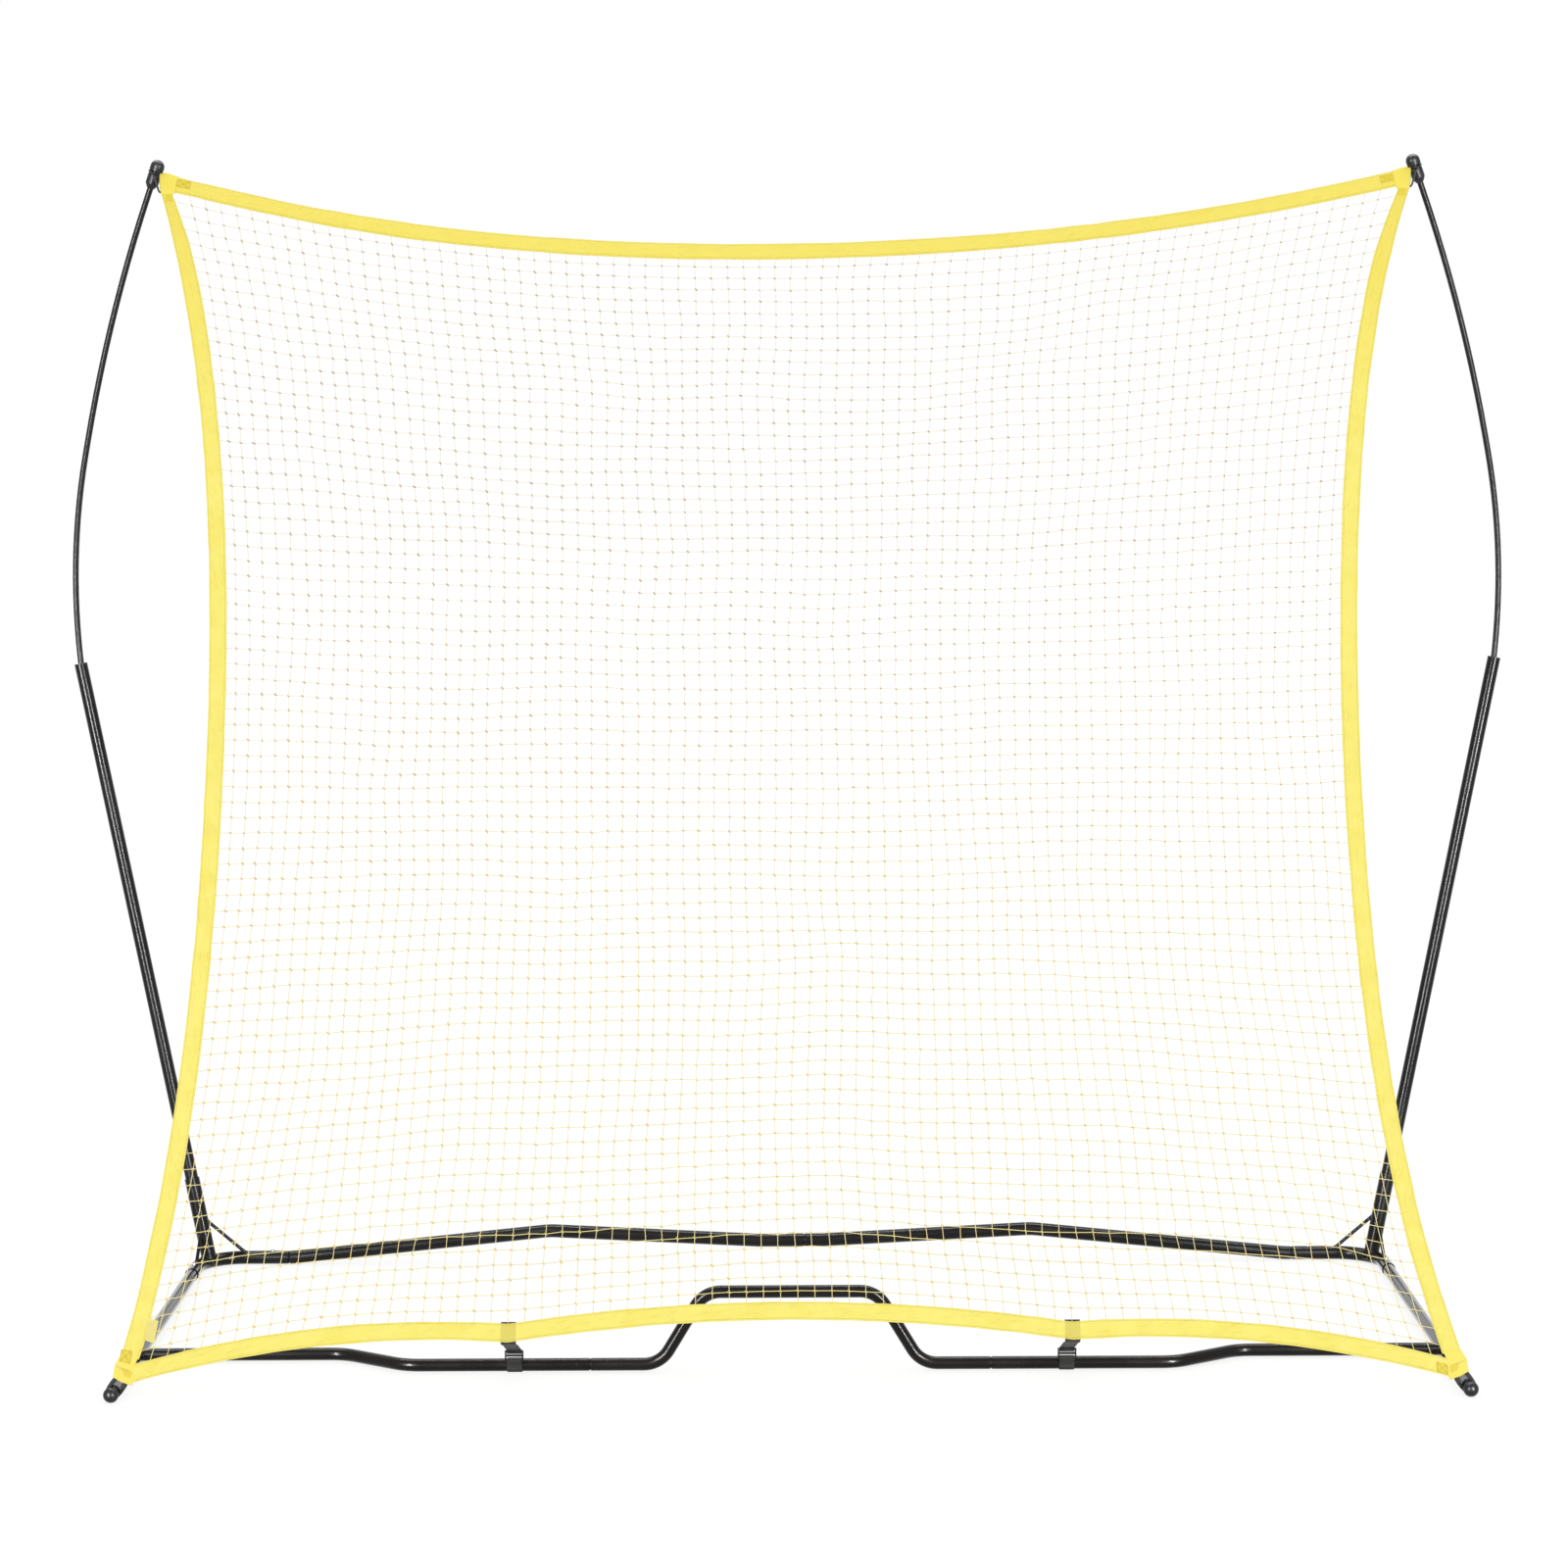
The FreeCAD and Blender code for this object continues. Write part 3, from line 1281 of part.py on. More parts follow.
def build():
    """Build every piece in order."""
    rear_corners()
    rear_bars()
    side_tubes()
    outer_front_bars()
    centre_front_bar()
    post_knobs()
    corner_solid = make_corner("corner_solid", None)
    upright_sockets(corner_solid)
    braces(corner_solid)
    upright_tubes()
    rods()
    tip_caps()
    snap_buttons()
    side_bands()
    top_band()
    bottom_band()
    net_mesh()
    corner_patches()
    band_label()
    low_corner_loops()
    high_corner_loops()
    net_straps()
    bar_loops()
    strap_buckles()


def check():
    """Stop if any object failed or any piece has no sound shape."""
    for item in DOC.Objects:
        if "Invalid" in item.State or "Error" in item.State:
            raise RuntimeError(f"{item.Label} failed: {item.State}")
    for piece in PIECES:
        shape = piece.Shape
        if shape.isNull() or not shape.isValid() or not shape.Solids:
            raise RuntimeError(f"{piece.Label} has no sound shape")


def export():
    """Write each piece to a STEP file named after it."""
    os.makedirs("parts", exist_ok=True)
    for piece in PIECES:
        piece.Shape.exportStep(os.path.join("parts", f"{piece.Label}.step"))


build()
DOC.recompute()
check()
export()
print(f"{len(PIECES)} pieces written")
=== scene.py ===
import logging
import math
from dataclasses import dataclass
from enum import Enum
from typing import Callable, Dict, List, Optional, Sequence, Tuple, Union

import bpy
import numpy as np
from mathutils import Matrix, Vector


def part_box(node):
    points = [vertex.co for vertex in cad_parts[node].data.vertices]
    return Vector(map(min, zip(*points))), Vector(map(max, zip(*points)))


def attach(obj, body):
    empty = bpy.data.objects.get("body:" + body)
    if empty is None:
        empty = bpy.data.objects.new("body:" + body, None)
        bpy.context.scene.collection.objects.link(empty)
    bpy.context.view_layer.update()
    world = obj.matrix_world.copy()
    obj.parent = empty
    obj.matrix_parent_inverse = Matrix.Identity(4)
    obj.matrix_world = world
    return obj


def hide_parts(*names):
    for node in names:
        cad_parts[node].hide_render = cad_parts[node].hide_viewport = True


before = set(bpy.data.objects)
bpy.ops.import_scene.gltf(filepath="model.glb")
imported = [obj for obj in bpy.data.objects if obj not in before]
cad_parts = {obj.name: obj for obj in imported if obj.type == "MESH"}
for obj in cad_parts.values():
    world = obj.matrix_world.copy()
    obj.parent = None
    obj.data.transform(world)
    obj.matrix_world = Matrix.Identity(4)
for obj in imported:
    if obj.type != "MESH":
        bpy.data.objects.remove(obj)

logging.basicConfig(level=logging.INFO, format="%(message)s")
log = logging.getLogger("rebounder")

Colour = Tuple[float, float, float]
Spot = Tuple[float, float]
Run = Tuple[Spot, Spot]
Curve = Callable[[np.ndarray], np.ndarray]
Number = Union[float, "Wire"]

KNOB_HALF = 1.1
TUBE_RADIUS = 0.0125
FRONT_RADIUS = 0.01075


class Side(Enum):
    """The two hands of the rebounder, with the sign of X."""

    LEFT = -1
    RIGHT = 1

    @property
    def word(self) -> str:
        """Return the word that node names end with."""
        return self.name.lower()


class Use(Enum):
    """What a set of shader nodes is for."""

    SURFACE = "ShaderNodeOutputMaterial"
    SKY = "ShaderNodeOutputWorld"


class Wire:
    """A shader socket that takes part in Python arithmetic."""

    def __init__(self, book: "Book", socket: bpy.types.NodeSocket) -> None:
        """Keep the socket and the material that it belongs to."""
        self.book = book
        self.socket = socket

    def math(self, operation: str, *others: Number) -> "Wire":
        """Add one Math node.

        Args:
            operation: the node's operation, such as "ADD".
            others: further inputs, numbers or sockets.

        Returns:
            The node's result.
        """
        values = dict(enumerate((self, *others)))
        return self.book.node("ShaderNodeMath", {"operation": operation}, values)

    def __add__(self, other: Number) -> "Wire":
        """Add."""
        return self.math("ADD", other)

    __radd__ = __add__

    def __mul__(self, other: Number) -> "Wire":
        """Multiply."""
        return self.math("MULTIPLY", other)

    __rmul__ = __mul__

    def __sub__(self, other: Number) -> "Wire":
        """Subtract."""
        return self.math("SUBTRACT", other)

    def __rsub__(self, other: float) -> "Wire":
        """Subtract this from a number."""
        return self.book.node("ShaderNodeMath", {"operation": "SUBTRACT"}, {0: other, 1: self})

    def __truediv__(self, other: Number) -> "Wire":
        """Divide."""
        return self.math("DIVIDE", other)

    def __gt__(self, other: Number) -> "Wire":
        """Return 1 where this is greater."""
        return self.math("GREATER_THAN", other)

    def __lt__(self, other: Number) -> "Wire":
        """Return 1 where this is less."""
        return self.math("LESS_THAN", other)

    def sine(self) -> "Wire":
        """Return the sine."""
        return self.math("SINE")

    def size(self) -> "Wire":
        """Return the value without its sign."""
        return self.math("ABSOLUTE")

    def fraction(self) -> "Wire":
        """Return the part after the point."""
        return self.math("FRACT")

    def ramp(self, low: float, high: float, start: float = 0.0, end: float = 1.0) -> "Wire":
        """Map low..high smoothly to start..end.

        Args:
            low: where the change begins.
            high: where it ends.
            start: result at low.
            end: result at high.

        Returns:
            The mapped value.
        """
        inputs = {"Value": self, "From Min": low, "From Max": high, "To Min": start, "To Max": end}
        return self.book.node("ShaderNodeMapRange", {"interpolation_type": "SMOOTHSTEP"}, inputs)


class Book:
    """A material, or the world, under construction."""

    def __init__(self, name: str, use: Use = Use.SURFACE) -> None:
        """Start with no nodes but the output.

        Args:
            name: the material's name.
            use: whether it covers a surface or the sky.
        """
        store = bpy.data.materials if use is Use.SURFACE else bpy.data.worlds
        self.material = store.new(name)
        self.material.use_nodes = True
        self.tree = self.material.node_tree
        self.tree.nodes.clear()
        self.out = self.tree.nodes.new(use.value)

    def node(
        self,
        kind: str,
        settings: Optional[Dict[str, object]] = None,
        inputs: Optional[Dict[object, object]] = None,
        output: Union[int, str] = 0,
    ) -> Wire:
        """Add a node.

        Args:
            kind: the node's type.
            settings: its own properties, or the stops of a colour ramp under "stops".
            inputs: values or sockets, by input name or number.
            output: which output to return.

        Returns:
            The chosen output.
        """
        made = self.tree.nodes.new(kind)
        for key, value in (settings or {}).items():
            if key == "stops":
                self.set_stops(made.color_ramp, value)
            else:
                setattr(made, key, value)
        for key, value in (inputs or {}).items():
            socket = made.inputs[key]
            if isinstance(value, Wire):
                self.tree.links.new(value.socket, socket)
            elif socket.type == "RGBA":
                socket.default_value = (*value, 1.0)
            else:
                socket.default_value = value
        return Wire(self, made.outputs[output])

    @staticmethod
    def set_stops(ramp: bpy.types.ColorRamp, stops: Sequence[Tuple[float, Colour]]) -> None:
        """Set a colour ramp's stops."""
        while len(ramp.elements) < len(stops):
            ramp.elements.new(1.0)
        for element, (place, colour) in zip(ramp.elements, stops):
            element.position = place
            element.color = (*colour, 1.0)

    def place(self) -> Wire:
        """Return the point in the object's own frame, in metres."""
        return self.node("ShaderNodeTexCoord", output="Object")

    def lengthwise(self, name: str) -> Wire:
        """Return a mesh attribute as a value."""
        return self.node("ShaderNodeAttribute", {"attribute_name": name}, output="Fac")

    def noise(self, scale: float, detail: float = 2.0, vector: Optional[Wire] = None) -> Wire:
        """Return a noise value.

        Args:
            scale: cells per metre.
            detail: octaves.
            vector: where it is read, or the object's own point.

        Returns:
            A value near 0.5.
        """
        inputs = {"Vector": vector or self.place(), "Scale": scale, "Detail": detail}
        return self.node("ShaderNodeTexNoise", {}, inputs, "Fac")

    def blend(self, share: Number, low: object, high: object) -> Wire:
        """Mix two colours by a share."""
        return self.node("ShaderNodeMix", {"data_type": "RGBA"}, {0: share, 6: low, 7: high}, 2)

    def coordinate(self, axis: str) -> Wire:
        """Return X, Y or Z of the point in the object's own frame."""
        return self.node("ShaderNodeSeparateXYZ", {}, {0: self.place()}, axis)

    def grazing(self) -> Wire:
        """Return 0 where a surface is seen squarely and 1 where it is seen along its face."""
        return self.node("ShaderNodeLayerWeight", {}, {"Blend": 0.5}, "Facing").ramp(0.35, 0.8)

    def looking(self) -> Wire:
        """Return 1 for rays that only look: from the camera, off a gloss or through glass."""
        kinds = ("Is Camera Ray", "Is Glossy Ray", "Is Transmission Ray")
        rays = [self.node("ShaderNodeLightPath", output=kind) for kind in kinds]
        return rays[0].math("MAXIMUM", rays[1]).math("MAXIMUM", rays[2])

    def close(self, surface: Wire) -> None:
        """Link a shader to the output."""
        self.tree.links.new(surface.socket, self.out.inputs["Surface"])

    def bump(self, height: Wire, distance: float, strength: float = 1.0) -> Wire:
        """Turn a height into a normal."""
        inputs = {"Height": height, "Distance": distance, "Strength": strength}
        return self.node("ShaderNodeBump", {}, inputs)

    def finish(self, inputs: Dict[str, object]) -> bpy.types.Material:
        """Close the material with the main shader.

        Args:
            inputs: the shader's values or sockets, by name.

        Returns:
            The material.
        """
        self.close(self.node("ShaderNodeBsdfPrincipled", {}, inputs))
        return self.material


@dataclass(frozen=True)
class GlossSteel:
    """Gloss black powder coat on steel tube."""

    name: str = "gloss_black_steel"
    colour: Colour = (0.0065, 0.0052, 0.0050)
    dusty: Colour = (0.011, 0.0092, 0.0088)
    roughness: float = 0.22

    def make(self) -> bpy.types.Material:
        """Build the material: an even coat with a fine orange peel and faint haze."""
        book = Book(self.name)
        haze = book.noise(9.0, 4.0).ramp(0.42, 0.68)
        peel = book.noise(900.0, 1.0)
        speck = book.noise(260.0, 3.0).ramp(0.64, 0.72)
        return book.finish({
            "Base Color": book.blend(haze, self.colour, self.dusty),
            "Roughness": self.roughness + 0.07 * haze + 0.12 * speck,
            "Specular IOR Level": 0.16,
            "Coat Weight": book.grazing() * 0.9,
            "Coat Roughness": 0.12,
            "Normal": book.bump(peel, 0.00002),
        })


@dataclass(frozen=True)
class Fibreglass:
    """Glossy black pultruded rod with faint lengthwise fibres."""

    name: str = "black_fibreglass"
    colour: Colour = (0.0075, 0.0068, 0.0080)
    fibre: Colour = (0.016, 0.015, 0.017)

    def make(self) -> bpy.types.Material:
        """Build the material."""
        book = Book(self.name)
        stretched = book.node("ShaderNodeMapping", {}, {"Vector": book.place(), "Scale": (1.0, 1.0, 0.03)})
        fibre = book.noise(1500.0, 2.0, stretched).ramp(0.5, 0.75)
        return book.finish({
            "Base Color": book.blend(fibre, self.colour, self.fibre),
            "Roughness": 0.25 + 0.08 * fibre,
            "Specular IOR Level": 0.22,
            "Normal": book.bump(fibre, 0.00002),
        })


@dataclass(frozen=True)
class MouldedPlastic:
    """Moulded black plastic with a fine grain and patchy wear."""

    name: str = "moulded_black_plastic"
    colour: Colour = (0.0090, 0.0093, 0.0125)
    worn: Colour = (0.018, 0.0185, 0.023)
    roughness: float = 0.34

    def make(self) -> bpy.types.Material:
        """Build the material."""
        book = Book(self.name)
        grain = book.noise(1800.0, 2.0)
        cloud = book.noise(70.0, 3.0).ramp(0.45, 0.75)
        return book.finish({
            "Base Color": book.blend(cloud, self.colour, self.worn),
            "Roughness": self.roughness + 0.15 * cloud,
            "Specular IOR Level": 0.26,
            "Normal": book.bump(grain, 0.00008),
        })


@dataclass(frozen=True)
class PlatedSteel:
    """Plated spring steel with fine drawn lines."""

    name: str = "plated_steel"
    colour: Colour = (0.42, 0.42, 0.43)
    dark: Colour = (0.2, 0.2, 0.21)
    roughness: float = 0.28

    def make(self) -> bpy.types.Material:
        """Build the material."""
        book = Book(self.name)
        mark = book.noise(400.0, 3.0).ramp(0.4, 0.7)
        return book.finish({
            "Base Color": book.blend(mark, self.colour, self.dark),
            "Roughness": self.roughness + 0.2 * mark,
            "Metallic": 1.0,
            "Normal": book.bump(mark, 0.00003),
        })


@dataclass(frozen=True)
class Webbing:
    """Woven flat webbing, read from the along and across lengths of its mesh."""

    name: str
    colour: Colour
    shade: Colour
    rib: float = 0.0016
    width: float = 0.030
    stitch: Optional[Colour] = None
    net_shadow: float = 0.0
    strap_at: float = 0.0
    # Painted shade: a deeper yellow that the webbing turns towards the top of the net.
    sunned: Optional[Colour] = None
    roughness: float = 0.72
    stitch_pitch: float = 0.0042
    stitch_inset: float = 0.0028
    mesh_pitch: float = 0.0265
    strand_pitch: float = 0.0125

    def weave(self, along: Wire, across: Wire) -> Wire:
        """Return the height of a twill weave, from 0 to 1."""
        turn = 2.0 * math.pi / self.rib
        warp = (across * turn).sine().size()
        weft = ((along + across * 0.8) * turn * 0.5).sine().size()
        return warp * 0.55 + weft * 0.45

    def stitches(self, along: Wire, across: Wire) -> Wire:
        """Return 1 on the two rows of thread near the long edges."""
        beat = ((along / self.stitch_pitch).fraction() - 0.5).size() < 0.36
        rows = None
        for place in (self.stitch_inset, self.width - self.stitch_inset):
            row = (across - place).size() < 0.00042
            rows = row if rows is None else rows + row
        return rows * beat

    def shadow(self, book: Book, along: Wire, across: Wire) -> Wire:
        """Return the net's edge that shows faintly through the doubled webbing."""
        drift = book.noise(14.0, 2.0) * 0.010
        columns = (along + across * 1.6 + drift) / self.mesh_pitch
        rows = (across + along * 0.13 + drift) / self.strand_pitch
        lines = None
        for travel, width in ((columns, 0.05), (rows, 0.10)):
            line = (travel.fraction() - 0.5).size().ramp(0.0, width, 1.0, 0.0)
            lines = line if lines is None else lines + line
        return lines * book.noise(48.0, 3.0).ramp(0.40, 0.66)

    def make(self) -> bpy.types.Material:
        """Build the material."""
        book = Book(self.name)
        along = book.lengthwise("along")
        across = book.lengthwise("across")
        weave = self.weave(along, across)
        cloud = book.noise(24.0, 4.0).ramp(0.3, 0.72)
        # The cloud is a random change of tone; the weave's low threads are painted darker, a painted shade in
        # its hollows.
        tone = book.blend(cloud * 0.55 + (1.0 - weave) * 0.3, self.colour, self.shade)
        # Painted shade: the yellow deepens towards the top of the net, standing in for how the light falls on
        # the top band.
        if self.sunned:
            tone = book.blend(book.coordinate("Z").ramp(1.5, 1.95, 0.0, 0.8), tone, self.sunned)
        height = weave
        if self.net_shadow:
            lines = self.shadow(book, along, across)
            dark = tuple(part * 0.80 for part in self.shade)
            tone = book.blend(lines * self.net_shadow, tone, dark)
            height = height + lines * 0.8
        if self.strap_at:
            off = (book.coordinate("X").size() - self.strap_at).size()
            behind = tuple(part * 0.62 for part in self.shade)
            tone = book.blend(off.ramp(0.0118, 0.0132, 0.5, 0.0), tone, behind)
        if self.stitch:
            thread = self.stitches(along, across)
            tone = book.blend(thread * 0.75, tone, self.stitch)
            height = height + thread * 1.2
        return book.finish({
            "Base Color": tone,
            "Roughness": self.roughness,
            "Specular IOR Level": 0.25,
            "Sheen Weight": 0.15,
            "Sheen Roughness": 0.5,
            "Normal": book.bump(height, 0.00022),
        })


@dataclass(frozen=True)
class Twine:
    """Braided net twine whose colour changes towards the top of the net where a top tone is given: painted
    light where it pales, painted shade where it darkens.
    """

    name: str
    colour: Colour
    shade: Colour
    roughness: float = 0.6
    faded: Optional[Colour] = None

    def make(self) -> bpy.types.Material:
        """Build the material."""
        book = Book(self.name)
        strand = book.noise(1400.0, 2.0)
        tone = book.noise(11.0, 3.0).ramp(0.3, 0.7)
        colour = book.blend(tone * 0.6 + strand * 0.3, self.colour, self.shade)
        # Painted light and shade towards the top of the net: the strands pale there as painted light, the
        # knots darken as painted shade.
        if self.faded:
            colour = book.blend(book.coordinate("Z").ramp(0.35, 1.5), colour, self.faded)
        return book.finish({
            "Base Color": colour,
            "Roughness": self.roughness,
            "Specular IOR Level": 0.3,
            "Normal": book.bump(strand, 0.0001),
        })


@dataclass(frozen=True)
class Finishes:
    """Every finish of the rebounder, built once."""

    steel: bpy.types.Material
    rod: bpy.types.Material
    plastic: bpy.types.Material
    buckle: bpy.types.Material
    plated: bpy.types.Material
    band: bpy.types.Material
    low_band: bpy.types.Material
    patch: bpy.types.Material
    sewn: bpy.types.Material
    twine: bpy.types.Material
    knot: bpy.types.Material
    thread: bpy.types.Material
    strap: bpy.types.Material
    cord: bpy.types.Material
    label: bpy.types.Material

    @staticmethod
    def build() -> "Finishes":
        """Build all finishes."""
        yellow = (0.955, 0.84, 0.165)
        deep = (0.90, 0.76, 0.09)
        # The deeper yellow of the painted shade towards the top of the net.
        painted_top_yellow = (0.90, 0.74, 0.075)
        thread = (0.78, 0.62, 0.04)
        black = (0.0085, 0.0078, 0.0080)
        grey = (0.019, 0.018, 0.018)
        edge = {"stitch": thread, "net_shadow": 0.35}
        label = {"rib": 0.0006, "width": 0.014}
        return Finishes(
            steel=GlossSteel().make(),
            rod=Fibreglass().make(),
            plastic=MouldedPlastic().make(),
            buckle=MouldedPlastic("buckle_plastic", (0.0095, 0.0095, 0.0100), (0.022,) * 3, 0.3).make(),
            plated=PlatedSteel().make(),
            band=Webbing("edge_webbing", yellow, deep, sunned=painted_top_yellow, **edge).make(),
            low_band=Webbing("bottom_webbing", yellow, deep, strap_at=0.459, **edge).make(),
            patch=Webbing("folded_webbing", (0.93, 0.80, 0.12), (0.88, 0.72, 0.07), sunned=painted_top_yellow).make(),
            # The darker sewn webbing of the stitched boxes, also laid on the low fold as painted shade.
            sewn=Webbing("sewn_webbing", (0.82, 0.68, 0.035), (0.72, 0.56, 0.015)).make(),
            # The twine's paler top tone is painted light at the top of the net.
            twine=Twine("net_twine", (0.92, 0.82, 0.36), (0.88, 0.76, 0.28), 0.6, (0.90, 0.83, 0.66)).make(),
            # Painted shade: the knots are coloured darker than the twine, standing in for their own shadow,
            # and darker still towards the top.
            knot=Twine("net_knot", (0.80, 0.65, 0.26), (0.70, 0.54, 0.18), 0.6, (0.46, 0.37, 0.26)).make(),
            thread=Twine("seam_thread", (0.74, 0.58, 0.02), (0.64, 0.50, 0.015)).make(),
            strap=Webbing("strap_webbing", black, grey, width=0.025).make(),
            cord=Twine("loop_cord", (0.010, 0.010, 0.012), (0.022, 0.022, 0.025), 0.7).make(),
            label=Webbing("label_cloth", (0.95, 0.84, 0.25), (0.90, 0.76, 0.18), **label).make(),
        )


class Shape:
    """A mesh that is put together from rings and faces, with lengths along and across it."""

    def __init__(self) -> None:
        """Start with nothing."""
        self.points: List[np.ndarray] = []
        self.faces: List[np.ndarray] = []
        self.caps: List[List[int]] = []
        self.along: List[np.ndarray] = []
        self.across: List[np.ndarray] = []
        self.count = 0

    def add_rings(
        self,
        rings: np.ndarray,
        along: Optional[np.ndarray] = None,
        across: Optional[np.ndarray] = None,
        capped: bool = True,
        looped: bool = False,
    ) -> None:
        """Join a row of closed rings.

        Args:
            rings: points, shaped (ring, point, 3).
            along: length of each ring along the piece.
            across: width of each point of a ring.
            capped: whether the two ends are closed.
            looped: whether the last ring joins the first.
        """
        rows, sides = rings.shape[:2]
        base = self.count
        index = base + np.arange(rows * sides).reshape(rows, sides)
        if looped:
            index = np.vstack([index, index[:1]])
        low, high = index[:-1], index[1:]
        quads = np.stack([low, np.roll(low, -1, 1), np.roll(high, -1, 1), high], -1)
        self.faces.append(quads.reshape(-1, 4))
        if capped and not looped:
            self.caps.append(list(range(base + sides - 1, base - 1, -1)))
            last = base + (rows - 1) * sides
            self.caps.append(list(range(last, last + sides)))
        along = np.zeros(rows) if along is None else along
        across = np.zeros(sides) if across is None else across
        self.along.append(np.repeat(along, sides))
        self.across.append(np.tile(across, rows))
        self.points.append(rings.reshape(-1, 3))
        self.count += rows * sides

    def build(self, name: str, material: bpy.types.Material, smooth: bool = True) -> bpy.types.Object:
        """Turn what was added into an object.

        Args:
            name: the object's name.
            material: its material.
            smooth: whether its faces are shaded smooth.

        Returns:
            The object.
        """
        mesh = bpy.data.meshes.new(name)
        points = np.concatenate(self.points)
        faces = np.concatenate(self.faces).tolist() + self.caps
        mesh.from_pydata(points.tolist(), [], faces)
        for key, values in (("along", self.along), ("across", self.across)):
            layer = mesh.attributes.new(key, "FLOAT", "POINT")
            layer.data.foreach_set("value", np.concatenate(values).astype(np.float32))
        mesh.polygons.foreach_set("use_smooth", [smooth] * len(mesh.polygons))
        mesh.materials.append(material)
        mesh.update()
        piece = bpy.data.objects.new(name, mesh)
        bpy.context.scene.collection.objects.link(piece)
        return piece


def unit(vectors: np.ndarray) -> np.ndarray:
    """Scale vectors to length 1."""
    return vectors / np.maximum(np.linalg.norm(vectors, axis=-1, keepdims=True), 1e-12)


def run_lengths(points: np.ndarray) -> np.ndarray:
    """Return how far along a path each of its points lies."""
    steps = np.linalg.norm(np.diff(points, axis=0), axis=1)
    return np.concatenate([[0.0], np.cumsum(steps)])


def tangents(points: np.ndarray) -> np.ndarray:
    """Return a path's directions at its points."""
    return unit(np.gradient(points, axis=0))


def tube_rings(
    points: np.ndarray, radius: Union[float, np.ndarray], sides: int, up: np.ndarray
) -> np.ndarray:
    """Return round rings along a path.

    Args:
        points: the path.
        radius: one radius, or one per point.
        sides: points per ring.
        up: a direction that the path never runs along.

    Returns:
        The rings, shaped (point, side, 3).
    """
    along = tangents(points)
    right = unit(np.cross(along, up))
    over = np.cross(right, along)
    turn = np.arange(sides) * 2.0 * math.pi / sides
    radius = np.broadcast_to(np.asarray(radius, float), (len(points),))
    circle = np.cos(turn)[None, :, None] * right[:, None] + np.sin(turn)[None, :, None] * over[:, None]
    return points[:, None] + circle * radius[:, None, None]


def smooth_path(corners: Sequence[Sequence[float]], count: int) -> np.ndarray:
    """Return points of a smooth curve through corners."""
    corners = np.array(corners, float)
    ends = np.vstack([2 * corners[0] - corners[1], corners, 2 * corners[-1] - corners[-2]])
    result = []
    for k in range(len(corners) - 1):
        a, b, c, d = ends[k:k + 4]
        t = np.linspace(0.0, 1.0, count, endpoint=k == len(corners) - 2)[:, None]
        second = 2 * a - 5 * b + 4 * c - d
        third = 3 * b - a - 3 * c + d
        result.append(0.5 * (2 * b + (c - a) * t + second * t**2 + third * t**3))
    return np.concatenate(result)


def gentle_noise(seed: int, count: int, step: float, size: float) -> np.ndarray:
    """Return smooth seeded ripples.

    Args:
        seed: which ripples.
        count: how many values.
        step: values per ripple.
        size: largest value.

    Returns:
        The ripples.
    """
    random = np.random.default_rng(seed)
    knots = random.uniform(-1.0, 1.0, int(count / step) + 4)
    places = np.arange(count) / step
    low = places.astype(int)
    share = places - low
    share = share * share * (3 - 2 * share)
    return size * (knots[low] * (1 - share) + knots[low + 1] * share)


